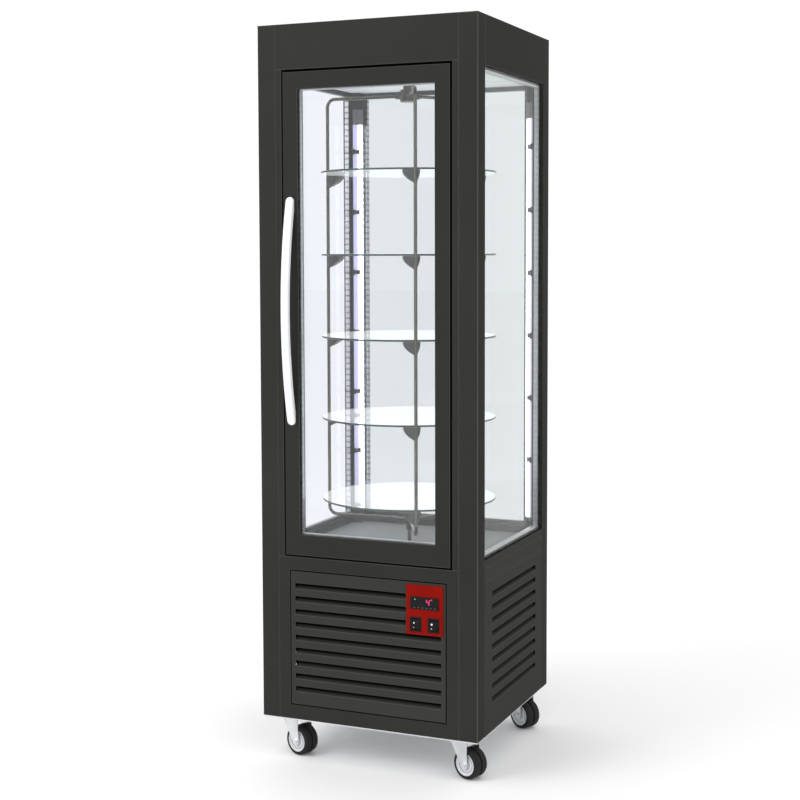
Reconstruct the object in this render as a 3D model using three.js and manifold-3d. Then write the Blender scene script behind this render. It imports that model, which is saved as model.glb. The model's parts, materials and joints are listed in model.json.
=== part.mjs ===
import * as THREE from 'three';
import { mergeVertices } from 'three/addons/utils/BufferGeometryUtils.js';
import Module from 'manifold-3d';

const wasm = await Module();
wasm.setup();

// Driving sizes in millimetres. +X points to the right of someone who faces the door, +Y to the back
// and +Z up. The floor is at height zero, and X zero is the middle of the door.
const bodyWidth = 600;
const bodyDepth = 560;
const bodyHeight = 1790;
const castorHeight = 105;
const postWidth = 50;
const postWall = 2;
const postChamfer = 24;
const postRadius = 4;
const sheet = 2;
const gap = 0.3;
const overrun = 4;
const edge = 1.5;

// Horizontal seams: the sill above the base, and the fascias counted down from the top
const baseHeadroom = 34;
const sillHeight = 20;
const frontFasciaHeight = 114;
const sideFasciaHeight = 123;

// Door
const jambStrip = 17;
const doorDepth = 32;
const doorReveal = 5;
const stileWidth = 41;
const topRailHeight = 45;
const bottomRailHeight = 54;
const glazingBite = 10;
const gasketDepth = 10;
const gasketWidth = 16;
const gasketInset = 12;
const lipWidth = 45;
const lipThickness = 3;
const pivotInset = 8.5;
const pivotRadius = 4;
const bushLength = 22;
const pivotPlateThickness = 4;
const pivotPlateDepth = 36;

// Glass units
const paneThickness = 4;
const spacerThickness = 12;
const spacerWidth = 15;
const fillHoleRadius = 1.5;
const glassSetback = 6;

// Handle
const handleLength = 583;
const handleRise = 342;
const handleWidth = 22;
const handleReach = 40;
const handleThickness = 11;
const handleFoot = 34;

// Louvred panels
const louvreCount = 9;
const louvrePitch = 33.8;
const louvreHeight = 16;
const louvreLowest = 75;
const louvreDepth = 12;
const bladeThickness = 1.6;
const sideLouvreMargin = 55;
const frontLouvreMargin = 15;
const grilleMargin = 32;
const grilleFootroom = 33;
const grilleHeadroom = 34.6;
const grilleSlit = 1.5;
const grilleLedge = 9;

// Control plate, counted from the right and upper edges of the grille
const plateInset = 9;
const plateWidth = 99;
const plateHeight = 126;
const plateThickness = 2;
const plateMargin = 2;
const displayWidth = 76;
const displayHeight = 31;
const displayDrop = 45.5;
const displayDepth = 52;
const displayRim = 3;
const rockerWidth = 28;
const rockerHeight = 34;
const rockerDrop = 100;
const rockerSpread = 48;
const rockerRise = 3.4;
const rockerDepth = 9;
const rockerPivotRadius = 2.5;
const rockerPlay = 1.4;
const switchFrame = 3;
const switchDepth = 16;

// Carousel
const shelfSideClearance = 42;
const shelfDoorClearance = 16;
const shelfThickness = 5;
const shelfEdge = 1;
const shelfCount = 5;
const shelfPitch = 216.5;
const lowestShelfRise = 128;
const rodRadius = 4.5;
const rodClearance = 1;
const rodBend = 22;
const rodSectionSteps = 5;
const rodBendSteps = 6;
const rodTopDrop = 41;
const rodBottomRise = 66;
const rodAngles = [-63, 57.5, 180.5];
const padWidth = 46;
const padReach = 40;
const padHeight = 31;
const padFootWidth = 13;
const padShoulderShare = 0.4;
const padEdge = 3;
const hubRadius = 22;
const hubHeight = 32;
const collarRadius = 13;
const collarHeight = 24;
const neckRadius = 9;
const neckHeight = 16;
const shaftRadius = 5;
const bearingPinRadius = 6;
const bearingPinLength = 22;
const bearingPlate = 70;
const bearingBossRadius = 14;
const runningClearance = 0.3;

// Chamber
const deckThickness = 30;
const deckHoleRadius = 14;
const ceilingThickness = 6;
const ceilingSlotWidth = 3.6;
const ceilingSlotLength = 30;
const ceilingSlotPitch = 7.2;
const ceilingSlotCount = 10;
const ceilingSlotInset = 41;
const ceilingSlotSetback = 119;
const ledWidth = 32;
const ledDepth = 9;
const ledHeight = 1150;
const ledRise = 40;

// Castors
const wheelRadius = 38;
const wheelWidth = 46;
const treadGroove = 4;
const treadRound = 6;
const hubDiscRadius = 29;
const hubDish = 3;
const axleRadius = 4;
const axleNutRadius = 7;
const axleNutLength = 4;
const forkWall = 2.5;
const forkGap = 1.5;
const forkTopWidth = 46;
const forkFootRadius = 11;
const forkCrown = 3;
const castorTrail = 25;
const castorInsetX = 63;
const castorInsetY = 62;
const castorPlate = 60;
const castorPlateThickness = 3;
const racewayRadius = 24;
const racewayHeight = 9;
const castorAngles = [-17, -19, -22, -27];

// Machinery in the base and above the ceiling
const trayThickness = 3;
const compressorRadius = 88;
const compressorHeight = 205;
const compressorFoot = 190;
const compressorFootThickness = 4;
const compressorX = -120;
const compressorY = 150;
const condenserWidth = 300;
const condenserHeight = 270;
const condenserDepth = 44;
const condenserX = 20;
const condenserSetback = 40;
const condenserFins = 8;
const finThickness = 3;
const shroudDepth = 26;
const fanRadius = 108;
const fanHubRadius = 26;
const fanHubDepth = 22;
const fanBlades = 5;
const fanBladeThickness = 3;
const fanPitch = THREE.MathUtils.degToRad(24);
const fanMotorRadius = 34;
const fanMotorDepth = 46;
const fanArmWidth = 12;
const fanTipClearance = 6;
const gearmotorWidth = 96;
const gearmotorHeight = 62;
const gearmotorCanRadius = 34;
const gearmotorCanHeight = 70;
const gearmotorBossRadius = 11;
const gearmotorBossHeight = 10;
const gearmotorHanger = 8;
const evaporatorWidth = 360;
const evaporatorDepth = 250;
const evaporatorHeight = 60;
const evaporatorFins = 8;
const ventSlots = 7;
const ventSlotLength = 300;
const ventSlotHeight = 8;
const ventPitch = 26;
const ventBottom = 150;
const glandRadius = 11;
const glandBore = 5;
const glandLength = 24;
const glandInset = 60;
const glandZ = 60;

// Places worked out from the sizes above
const halfWidth = bodyWidth / 2;
const halfDepth = bodyDepth / 2;
const bodyShift = handleReach / 2; // the handle stands proud in front, so the body sits this far back
const front = bodyShift - halfDepth;
const back = bodyShift + halfDepth;
const floorZ = castorHeight;
const topZ = castorHeight + bodyHeight;
const trayTop = floorZ + trayThickness;
const grilleBottom = louvreLowest - grilleFootroom;
const grilleTop = louvreLowest + (louvreCount - 1) * louvrePitch + louvreHeight + grilleHeadroom;
const baseHeight = grilleTop + baseHeadroom;
const baseTop = floorZ + baseHeight;
const sillTop = baseTop + sillHeight;
const frontFasciaZ = topZ - frontFasciaHeight;
const sideFasciaZ = topZ - sideFasciaHeight;
const postInner = halfWidth - postWidth;
const doorHalfWidth = postInner - jambStrip - doorReveal;
const grilleHalfWidth = postInner - grilleMargin;
const frontLouvreHalf = grilleHalfWidth - frontLouvreMargin;
const sideLouvreHalf = halfDepth - postWidth - sideLouvreMargin;
const plateRight = grilleHalfWidth - plateInset;
const plateLeft = plateRight - plateWidth;
const plateTop = grilleTop - plateInset;
const plateBottom = plateTop - plateHeight;
const displayCentre = plateTop - displayDrop;
const rockerCentre = plateTop - rockerDrop;
const glandX = glandInset - postInner;
const unitThickness = 2 * paneThickness + spacerThickness;
const glassOuter = glassSetback;
const glassInner = glassSetback + unitThickness;
const lipFront = front + doorDepth + gasketDepth;
const lipBack = lipFront + lipThickness;
const lipHalfWidth = postInner - lipWidth;
const doorBottom = baseTop + doorReveal;
const doorTop = frontFasciaZ - doorReveal;
const apertureHalf = doorHalfWidth - stileWidth;
const apertureBottom = doorBottom + bottomRailHeight;
const apertureTop = doorTop - topRailHeight;
const jambInner = doorHalfWidth + doorReveal;
const deckTop = baseTop;
const shelfRadius = Math.min(
  halfWidth - glassInner - shelfSideClearance,
  halfDepth - doorDepth - shelfDoorClearance,
);
const ceilingZ = sideFasciaZ;

// Materials of the real surfaces
const paint = new THREE.MeshStandardMaterial({ color: 0x3a3a38, roughness: 0.45, metalness: 0.1 });
const doorPaint = new THREE.MeshStandardMaterial({ color: 0x393937, roughness: 0.42, metalness: 0.1 });
const steel = new THREE.MeshStandardMaterial({ color: 0xb9bbbd, roughness: 0.3, metalness: 1 });
const zinc = new THREE.MeshStandardMaterial({ color: 0xd4d6d9, roughness: 0.35, metalness: 1 });
const whitePaint = new THREE.MeshStandardMaterial({ color: 0xf1f3f3, roughness: 0.5, metalness: 0 });
const glazing = new THREE.MeshStandardMaterial({
  color: 0xdff0ea, roughness: 0.05, metalness: 0, transparent: true, opacity: 0.3,
});
const rubber = new THREE.MeshStandardMaterial({ color: 0x141414, roughness: 0.8, metalness: 0 });
const handlePlastic = new THREE.MeshStandardMaterial({ color: 0xe9eaec, roughness: 0.25, metalness: 0 });
const redPlate = new THREE.MeshStandardMaterial({ color: 0x9c1708, roughness: 0.4, metalness: 0 });
const blackPlastic = new THREE.MeshStandardMaterial({ color: 0x17181a, roughness: 0.35, metalness: 0 });
const diffuser = new THREE.MeshStandardMaterial({ color: 0xf4f6ff, roughness: 0.4, metalness: 0 });
const castMetal = new THREE.MeshStandardMaterial({ color: 0x26282a, roughness: 0.6, metalness: 0.4 });
const finMetal = new THREE.MeshStandardMaterial({ color: 0x9aa0a4, roughness: 0.4, metalness: 0.9 });
const wheelRubber = new THREE.MeshStandardMaterial({ color: 0x1c1c1c, roughness: 0.7, metalness: 0 });

const cabinet = new THREE.Group();

function solidOf(geometry) {
  const bare = geometry.clone();
  bare.deleteAttribute('normal');
  bare.deleteAttribute('uv');
  const merged = mergeVertices(bare);
  return new wasm.Manifold(new wasm.Mesh({
    numProp: 3,
    vertProperties: new Float32Array(merged.attributes.position.array),
    triVerts: new Uint32Array(merged.index.array),
  }));
}

function geometryOf(solid) {
  const mesh = solid.getMesh();
  const geometry = new THREE.BufferGeometry();
  geometry.setAttribute('position', new THREE.BufferAttribute(mesh.vertProperties, 3));
  geometry.setIndex(new THREE.BufferAttribute(mesh.triVerts, 1));
  geometry.computeVertexNormals();
  return geometry;
}

function addPiece(name, solid, material) {
  const mesh = new THREE.Mesh(geometryOf(solid), material);
  mesh.name = name;
  cabinet.add(mesh);
  return mesh;
}

// A rectangular block between two corners
function block(x0, x1, y0, y1, z0, z1) {
  const geometry = new THREE.BoxGeometry(Math.abs(x1 - x0), Math.abs(y1 - y0), Math.abs(z1 - z0));
  geometry.translate((x0 + x1) / 2, (y0 + y1) / 2, (z0 + z1) / 2);
  return solidOf(geometry);
}

function outline(points) {
  return new THREE.Shape(points.map(([u, v]) => new THREE.Vector2(u, v)));
}

function roundedRectangle(u0, u1, v0, v1, radius) {
  const shape = new THREE.Shape();
  shape.absarc(u1 - radius, v0 + radius, radius, -Math.PI / 2, 0, false);
  shape.absarc(u1 - radius, v1 - radius, radius, 0, Math.PI / 2, false);
  shape.absarc(u0 + radius, v1 - radius, radius, Math.PI / 2, Math.PI, false);
  shape.absarc(u0 + radius, v0 + radius, radius, Math.PI, 3 * Math.PI / 2, false);
  shape.closePath();
  return shape;
}

function sweep(shape, from, to, basis, curveSegments) {
  const geometry = new THREE.ExtrudeGeometry(shape, {
    depth: to - from, bevelEnabled: false, curveSegments,
  });
  geometry.translate(0, 0, from);
  geometry.applyMatrix4(basis);
  return solidOf(geometry);
}

// Profiles drawn in (x, y) and raised along Z, in (y, z) along X, and in (x, z) along Y
const upright = new THREE.Matrix4();
const acrossX = new THREE.Matrix4().makeBasis(
  new THREE.Vector3(0, 1, 0), new THREE.Vector3(0, 0, 1), new THREE.Vector3(1, 0, 0),
);
const acrossY = new THREE.Matrix4().makeBasis(
  new THREE.Vector3(1, 0, 0), new THREE.Vector3(0, 0, 1), new THREE.Vector3(0, -1, 0),
);

function alongZ(shape, z0, z1, curveSegments = 4) {
  return sweep(shape, z0, z1, upright, curveSegments);
}

function alongX(shape, x0, x1, curveSegments = 4) {
  return sweep(shape, x0, x1, acrossX, curveSegments);
}

function alongY(shape, y0, y1, curveSegments = 4) {
  return sweep(shape, -y1, -y0, acrossY, curveSegments);
}

// A round bar, upright or lying along X or Y, between two places on its own axis
function roundBar(axis, radius, from, to, centre, sides = 20) {
  const geometry = new THREE.CylinderGeometry(radius, radius, to - from, sides);
  geometry.translate(0, (from + to) / 2, 0);
  if (axis === 'z') geometry.rotateX(Math.PI / 2);
  if (axis === 'x') geometry.rotateZ(-Math.PI / 2);
  geometry.translate(...centre);
  return solidOf(geometry);
}

// A turned body: the profile is a list of (radius, height) pairs, closed on itself or on the axis
function turned(profile, sides, centre = [0, 0, 0]) {
  const points = profile.map(([r, z]) => new THREE.Vector2(r, z));
  const geometry = new THREE.LatheGeometry(points, sides);
  geometry.rotateX(Math.PI / 2);
  geometry.translate(...centre);
  return solidOf(geometry);
}

// A copy of a solid under a three.js matrix; a mirror image gets its triangles turned the right way out
function placed(solid, matrix) {
  const geometry = geometryOf(solid).applyMatrix4(matrix);
  if (matrix.determinant() < 0) {
    const index = geometry.index.array;
    for (let k = 0; k < index.length; k += 3) {
      [index[k + 1], index[k + 2]] = [index[k + 2], index[k + 1]];
    }
  }
  return solidOf(geometry);
}

function shifted(solid, x, y, z) {
  return placed(solid, new THREE.Matrix4().makeTranslation(x, y, z));
}

function turnedAboutZ(solid, angle) {
  return placed(solid, new THREE.Matrix4().makeRotationZ(angle));
}

function mirrored(solid) {
  return placed(solid, new THREE.Matrix4().makeScale(-1, 1, 1));
}

function joined(solids) {
  return solids.reduce((whole, next) => whole.add(next));
}

// Corner posts: one extrusion with a rounded outer corner and a bevelled inner corner
function postOutline(inset) {
  const width = postWidth - inset;
  const bevelEnd = postWidth - postChamfer - (Math.SQRT2 - 1) * inset;
  const shape = new THREE.Shape();
  shape.absarc(postRadius, postRadius, postRadius - inset, Math.PI, 3 * Math.PI / 2, false);
  shape.lineTo(width, inset);
  shape.lineTo(width, bevelEnd);
  shape.lineTo(bevelEnd, width);
  shape.lineTo(inset, width);
  shape.closePath();
  return shape;
}

function cornerPost(side, end) {
  const shape = postOutline(0);
  shape.holes.push(new THREE.Path(postOutline(postWall).getPoints(4)));
  const post = alongZ(shape, trayTop + gap, topZ - sheet - gap);
  const place = new THREE.Matrix4().makeTranslation(side * halfWidth, end < 0 ? front : back, 0);
  return placed(post, place.multiply(new THREE.Matrix4().makeScale(-side, -end, 1)));
}

addPiece('front_left_post', cornerPost(-1, -1), paint);
addPiece('front_right_post', cornerPost(1, -1), paint);
addPiece('rear_left_post', cornerPost(-1, 1), paint);
addPiece('rear_right_post', cornerPost(1, 1), paint);

// Roof hood: a flat top sheet with four fascias that hang between the posts, each with a bottom flange
function roofHood() {
  const clear = postInner - gap;
  const top = block(-halfWidth, halfWidth, front, back, topZ - sheet, topZ);
  const frontFascia = block(-clear, clear, front, front + sheet, frontFasciaZ, topZ);
  const frontFlange = block(-clear, clear, front, lipBack, frontFasciaZ, frontFasciaZ + sheet);
  const frontLip = block(-lipHalfWidth + gap, lipHalfWidth - gap, lipFront, lipBack,
    doorTop - gasketInset - gasketWidth / 2, frontFasciaZ + sheet);
  const rearFascia = block(-clear, clear, back - sheet, back, sideFasciaZ, topZ);
  const rearFlange = block(-clear, clear, back - glassInner, back, sideFasciaZ, sideFasciaZ + sheet);
  const sideY0 = front + postWidth + gap;
  const sideY1 = back - postWidth - gap;
  const sideFascia = block(halfWidth - sheet, halfWidth, sideY0, sideY1, sideFasciaZ, topZ);
  const flangeIn = halfWidth - glassInner;
  const sideFlange = block(flangeIn, halfWidth, sideY0, sideY1, sideFasciaZ, sideFasciaZ + sheet);
  const right = sideFascia.add(sideFlange);
  return joined([top, frontFascia, frontFlange, frontLip, rearFascia, rearFlange, right, mirrored(right)]);
}
addPiece('roof_hood', roofHood(), paint);

// The chamber floor and ceiling share one plan: a cross that clears the four posts
function chamberPlan() {
  const wide = halfWidth - glassInner - gap;
  const narrow = postInner - gap;
  const y0 = lipBack + gap;
  const y1 = front + postWidth + gap;
  const y2 = back - postWidth - gap;
  const y3 = back - glassInner - gap;
  const rightSide = [[narrow, y0], [narrow, y1], [wide, y1], [wide, y2], [narrow, y2], [narrow, y3]];
  const leftSide = rightSide.map(([x, y]) => [-x, y]).reverse();
  return outline([...rightSide, ...leftSide]);
}

function deck() {
  const shape = chamberPlan();
  const slab = alongZ(shape, deckTop - deckThickness, deckTop);
  const under = deckTop - deckThickness;
  const hole = roundBar('z', deckHoleRadius, under - overrun, deckTop + overrun, [0, bodyShift, 0]);
  return slab.subtract(hole);
}
addPiece('chamber_deck', deck(), steel);

function ceiling() {
  const panel = alongZ(chamberPlan(), ceilingZ, ceilingZ + ceilingThickness);
  const z0 = ceilingZ - overrun;
  const z1 = ceilingZ + ceilingThickness + overrun;
  const outermost = halfWidth - glassInner - ceilingSlotInset;
  const slotEnd = back - glassInner - ceilingSlotSetback;
  const slots = [];
  for (let k = 0; k < ceilingSlotCount; k += 1) {
    const x = outermost - k * ceilingSlotPitch;
    const slot = block(x - ceilingSlotWidth, x, slotEnd - ceilingSlotLength, slotEnd, z0, z1);
    slots.push(slot, mirrored(slot));
  }
  return panel.subtract(joined(slots));
}
addPiece('ceiling_panel', ceiling(), whitePaint);

// Louvres: windows pressed through a sheet, each with a blade that leans inwards from its lower edge.
// They are drawn for a sheet in the XZ plane whose outer face is at y, with the inside towards +Y.
function louvreWindows(halfLength, y, depth) {
  const windows = [];
  for (let k = 0; k < louvreCount; k += 1) {
    const z = floorZ + louvreLowest + k * louvrePitch;
    windows.push(block(-halfLength, halfLength, y - overrun, y + depth + overrun, z, z + louvreHeight));
  }
  return joined(windows);
}

function louvreBlades(halfLength, y) {
  const blades = [];
  for (let k = 0; k < louvreCount; k += 1) {
    const z = floorZ + louvreLowest + k * louvrePitch;
    const root = z - bladeThickness;
    const tip = z + louvreHeight - bladeThickness;
    const profile = outline([
      [y, root], [y + bladeThickness, root], [y + louvreDepth, tip - bladeThickness],
      [y + louvreDepth, tip], [y, z + bladeThickness / 2],
    ]);
    blades.push(alongX(profile, -halfLength, halfLength));
  }
  return joined(blades);
}

// Front base: a fixed frame sheet and the removable louvred grille inside it
function frontBase() {
  const clear = postInner - gap;
  const ledgeHalf = grilleHalfWidth - grilleLedge;
  const ledgeBottom = floorZ + grilleBottom + grilleLedge;
  const ledgeTop = floorZ + grilleTop - grilleLedge;
  const face = block(-clear, clear, front, front + sheet, trayTop + gap, baseTop);
  const faceCut = block(-grilleHalfWidth, grilleHalfWidth, front - overrun, front + sheet + gap,
    floorZ + grilleBottom, floorZ + grilleTop);
  const ledge = block(-clear, clear, front + sheet, front + 2 * sheet, trayTop + gap, baseTop);
  const ledgeCut = block(-ledgeHalf, ledgeHalf, front, front + 2 * sheet + overrun, ledgeBottom, ledgeTop);
  const flange = block(-clear, clear, front, lipBack, baseTop - sheet, baseTop);
  const lip = block(-lipHalfWidth + gap, lipHalfWidth - gap, lipFront, lipBack,
    baseTop - sheet, doorBottom + gasketInset + gasketWidth / 2);
  return joined([face, ledge, flange, lip]).subtract(faceCut).subtract(ledgeCut);
}
addPiece('front_base_panel', frontBase(), paint);

const rockerX = [displayMiddle() - rockerSpread / 2, displayMiddle() + rockerSpread / 2];

function displayMiddle() {
  return (plateLeft + plateRight) / 2;
}

function frontGrille() {
  const half = grilleHalfWidth - grilleSlit;
  const z0 = floorZ + grilleBottom + gap;
  const z1 = floorZ + grilleTop - grilleSlit;
  const plate = block(-half, half, front, front + sheet, z0, z1);
  const reserve = block(plateLeft - plateMargin, half, front - overrun, front + louvreDepth + overrun,
    floorZ + plateBottom, z1);
  const windows = louvreWindows(frontLouvreHalf, front, sheet).subtract(reserve);
  const blades = louvreBlades(frontLouvreHalf, front).subtract(reserve);
  const grille = plate.subtract(windows).add(blades);
  return grille.subtract(controlCutouts(front - overrun, front + sheet + overrun, 2 * gap));
}

// Openings for the thermostat body and the two switch bodies, through the control plate and the grille
function controlCutouts(y0, y1, clearance) {
  const halfDisplay = displayWidth / 2 - displayRim + clearance;
  const displayZ = floorZ + displayCentre;
  const rise = displayHeight / 2 - displayRim + clearance;
  const cuts = [block(displayMiddle() - halfDisplay, displayMiddle() + halfDisplay, y0, y1,
    displayZ - rise, displayZ + rise)];
  for (const x of rockerX) {
    const halfW = rockerWidth / 2 + clearance;
    const halfH = rockerHeight / 2 + clearance;
    const z = floorZ + rockerCentre;
    cuts.push(block(x - halfW, x + halfW, y0, y1, z - halfH, z + halfH));
  }
  return joined(cuts);
}
addPiece('front_grille', frontGrille(), paint);

// Control plate on the grille, with a well behind each rocker that carries its pivot
function controlPlate() {
  const plateBack = front - gap;
  const plateFront = plateBack - plateThickness;
  const under = floorZ + plateBottom;
  const plate = block(plateLeft, plateRight, plateFront, plateBack, under, under + plateHeight);
  const halfDisplay = displayWidth / 2 - displayRim + gap;
  const rise = displayHeight / 2 - displayRim + gap;
  const displayZ = floorZ + displayCentre;
  const displayCut = block(displayMiddle() - halfDisplay, displayMiddle() + halfDisplay,
    plateFront - overrun, plateBack + overrun, displayZ - rise, displayZ + rise);
  const z = floorZ + rockerCentre;
  const halfW = rockerWidth / 2;
  const halfH = rockerHeight / 2;
  let whole = plate.subtract(displayCut);
  for (const x of rockerX) {
    const body = block(x - halfW, x + halfW, plateFront, front + switchDepth, z - halfH, z + halfH);
    const well = block(x - halfW + switchFrame, x + halfW - switchFrame, plateFront - overrun,
      front + switchDepth - sheet, z - halfH + switchFrame, z + halfH - switchFrame);
    const pin = halfW - gap;
    const pivot = roundBar('x', rockerPivotRadius, x - pin, x + pin, [0, rockerPivotY(), z], 12);
    whole = whole.add(body).subtract(well).add(pivot);
  }
  return whole;
}

function rockerPivotY() {
  return front + rockerDepth / 2;
}
addPiece('control_plate', controlPlate(), redPlate);

function thermostat() {
  const halfW = displayWidth / 2;
  const halfH = displayHeight / 2;
  const z = floorZ + displayCentre;
  const x = displayMiddle();
  const bezelBack = front - gap - plateThickness - gap;
  const bezel = block(x - halfW, x + halfW, bezelBack - sheet, bezelBack, z - halfH, z + halfH);
  const bodyW = halfW - displayRim;
  const bodyH = halfH - displayRim;
  const bodyFront = bezelBack - sheet / 2;
  const body = block(x - bodyW, x + bodyW, bodyFront, front + displayDepth, z - bodyH, z + bodyH);
  return bezel.add(body);
}
addPiece('thermostat_display', thermostat(), blackPlastic);

// A rocker: two faces that meet at a shallow angle, with a saddle that snaps over the pivot
function rocker(x) {
  const z = floorZ + rockerCentre;
  const halfW = rockerWidth / 2 - switchFrame - gap;
  const halfH = rockerHeight / 2 - switchFrame - rockerPlay;
  const face = front - gap - plateThickness;
  const rise = rockerRise;
  const profile = outline([
    [face - rise, z - halfH], [face - rise / 3, z], [face - rise / 3, z + halfH],
    [front + rockerDepth, z + halfH * 2 / 3], [front + rockerDepth, z - halfH * 2 / 3],
  ]);
  const body = alongX(profile, x - halfW, x + halfW);
  const bore = roundBar('x', rockerPivotRadius + runningClearance, x - halfW - overrun, x + halfW + overrun,
    [0, rockerPivotY(), z], 12);
  return body.subtract(bore);
}
addPiece('light_switch_rocker', rocker(rockerX[0]), blackPlastic);
addPiece('power_switch_rocker', rocker(rockerX[1]), blackPlastic);

// Side base panels: drawn facing -Y with the outer face at zero, then turned to face +X
function sideBasePanel() {
  const half = halfDepth - postWidth - gap;
  const z1 = sillTop;
  const face = block(-half, half, 0, sheet, trayTop + gap, z1);
  const flange = block(-half, half, 0, glassInner, z1 - sheet, z1);
  const downturn = block(-half, half, glassInner - sheet, glassInner, deckTop - sheet, z1);
  const seam = block(-half - overrun, half + overrun, -overrun, sheet / 2, baseTop - sheet / 2, baseTop);
  const slitZ = floorZ + grilleTop - sheet;
  const slitHalf = half - grilleLedge;
  const slit = block(-slitHalf, slitHalf, -overrun, sheet / 2, slitZ - grilleSlit, slitZ);
  return face.subtract(louvreWindows(sideLouvreHalf, 0, sheet)).add(louvreBlades(sideLouvreHalf, 0))
    .add(flange).add(downturn).subtract(seam).subtract(slit);
}

const rightBasePanel = shifted(turnedAboutZ(sideBasePanel(), Math.PI / 2), halfWidth, bodyShift, 0);
addPiece('right_base_panel', rightBasePanel, paint);
addPiece('left_base_panel', mirrored(rightBasePanel), paint);

// Rear base panel, with plain vent slots and the hole for the cable gland
function rearBasePanel() {
  const clear = postInner - gap;
  const face = block(-clear, clear, back - sheet, back, trayTop + gap, sillTop);
  const flange = block(-clear, clear, back - glassInner, back, sillTop - sheet, sillTop);
  const seat = back - glassInner;
  const downturn = block(-clear, clear, seat, seat + sheet, deckTop - sheet, sillTop);
  const slots = [];
  for (let k = 0; k < ventSlots; k += 1) {
    const z = floorZ + ventBottom + k * ventPitch;
    slots.push(block(-ventSlotLength / 2, ventSlotLength / 2, back - sheet - overrun, back + overrun,
      z, z + ventSlotHeight));
  }
  const hole = roundBar('y', glandRadius * 2 / 3 + gap, back - sheet - overrun, back + overrun,
    [glandX, 0, floorZ + glandZ], 16);
  return joined([face, flange, downturn]).subtract(joined(slots)).subtract(hole);
}
addPiece('rear_base_panel', rearBasePanel(), paint);

// Cable gland: a stem through the hole in the panel, held by a hexagonal nut behind the sheet
function cableGland() {
  const stemRadius = glandRadius * 2 / 3;
  const inner = back - sheet - gap;
  const centre = [glandX, 0, floorZ + glandZ];
  const stem = roundBar('y', stemRadius, inner - glandLength, back - sheet / 2, centre, 16);
  const nut = roundBar('y', glandRadius, inner - glandLength, inner, centre, 6);
  const bore = roundBar('y', glandBore, inner - glandLength - overrun, back + overrun, centre, 16);
  return stem.add(nut).subtract(bore);
}
addPiece('cable_gland', cableGland(), blackPlastic);

// Door jambs: a strip beside the door, flush with the posts, and a lip behind the door for the gasket
function jamb() {
  const z0 = baseTop + gap;
  const z1 = frontFasciaZ - gap;
  const outer = postInner - gap;
  const profile = outline([
    [jambInner, front], [outer, front], [outer, lipBack], [lipHalfWidth, lipBack],
    [lipHalfWidth, lipFront], [jambInner, lipFront],
  ]);
  return alongZ(profile, z0, z1);
}
const rightJamb = jamb();
addPiece('right_jamb', rightJamb, paint);
addPiece('left_jamb', mirrored(rightJamb), paint);

// A sealed double pane: two sheets of glass on a spacer that is set in from their edges. It is drawn
// facing -Y with the outer pane's face at zero; a small hole through the spacer vents the gas space.
function glassUnit(halfLength, z0, z1) {
  const outerPane = block(-halfLength, halfLength, 0, paneThickness, z0, z1);
  const innerPane = block(-halfLength, halfLength, unitThickness - paneThickness, unitThickness, z0, z1);
  const ring = block(-halfLength + paneThickness / 2, halfLength - paneThickness / 2, paneThickness / 2,
    unitThickness - paneThickness / 2, z0 + paneThickness / 2, z1 - paneThickness / 2);
  const space = block(-halfLength + spacerWidth, halfLength - spacerWidth, paneThickness,
    unitThickness - paneThickness, z0 + spacerWidth, z1 - spacerWidth);
  const vent = roundBar('z', fillHoleRadius, z1 - spacerWidth - overrun, z1 + overrun,
    [halfLength / 2, unitThickness / 2, 0], 8);
  return joined([outerPane, innerPane, ring]).subtract(space).subtract(vent);
}

const sideUnit = glassUnit(halfDepth - postWidth - gap, sillTop + gap, sideFasciaZ - gap);
const rightUnit = shifted(turnedAboutZ(sideUnit, Math.PI / 2), halfWidth - glassOuter, bodyShift, 0);
addPiece('right_glass_unit', rightUnit, glazing);
addPiece('left_glass_unit', mirrored(rightUnit), glazing);
const rearUnit = glassUnit(postInner - gap, sillTop + gap, sideFasciaZ - gap);
addPiece('rear_glass_unit', shifted(turnedAboutZ(rearUnit, Math.PI), 0, back - glassOuter, 0), glazing);

// LED bars stand on the bevelled inner corners of the two rear posts and face the carousel
function ledBar(side) {
  const profile = outline([
    [-ledWidth / 2, 0], [ledWidth / 2, 0], [ledWidth / 2, ledDepth / 2],
    [ledWidth / 4, ledDepth], [-ledWidth / 4, ledDepth], [-ledWidth / 2, ledDepth / 2],
  ]);
  const bar = alongZ(profile, deckTop + ledRise, deckTop + ledRise + ledHeight);
  const bevelMiddle = postWidth - postChamfer / 2 + gap / Math.SQRT2;
  const x = side * (halfWidth - bevelMiddle);
  const place = new THREE.Matrix4().makeTranslation(x, back - bevelMiddle, 0);
  return placed(bar, place.multiply(new THREE.Matrix4().makeRotationZ(side * 3 * Math.PI / 4)));
}
addPiece('left_led_bar', ledBar(-1), diffuser);
addPiece('right_led_bar', ledBar(1), diffuser);

// Door frame: extruded stiles and rails with a rebate for the glass, open at their ends
function frameProfile(outer, inner) {
  const wall = sheet;
  const rebate = inner + Math.sign(outer - inner) * glazingBite;
  const lip = (doorDepth - unitThickness) / 2 - gap;
  const y0 = front;
  const y1 = front + doorDepth;
  const shape = outline([
    [outer, y0], [outer, y1], [inner, y1], [inner, y1 - lip], [rebate, y1 - lip],
    [rebate, y0 + lip], [inner, y0 + lip], [inner, y0],
  ]);
  const inward = Math.sign(inner - outer) * wall;
  shape.holes.push(new THREE.Path([
    new THREE.Vector2(outer + inward, y0 + wall), new THREE.Vector2(rebate - inward, y0 + wall),
    new THREE.Vector2(rebate - inward, y1 - wall), new THREE.Vector2(outer + inward, y1 - wall),
  ]));
  return shape;
}

const pivotX = doorHalfWidth - pivotInset;
const pivotY = front + pivotInset;

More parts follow.
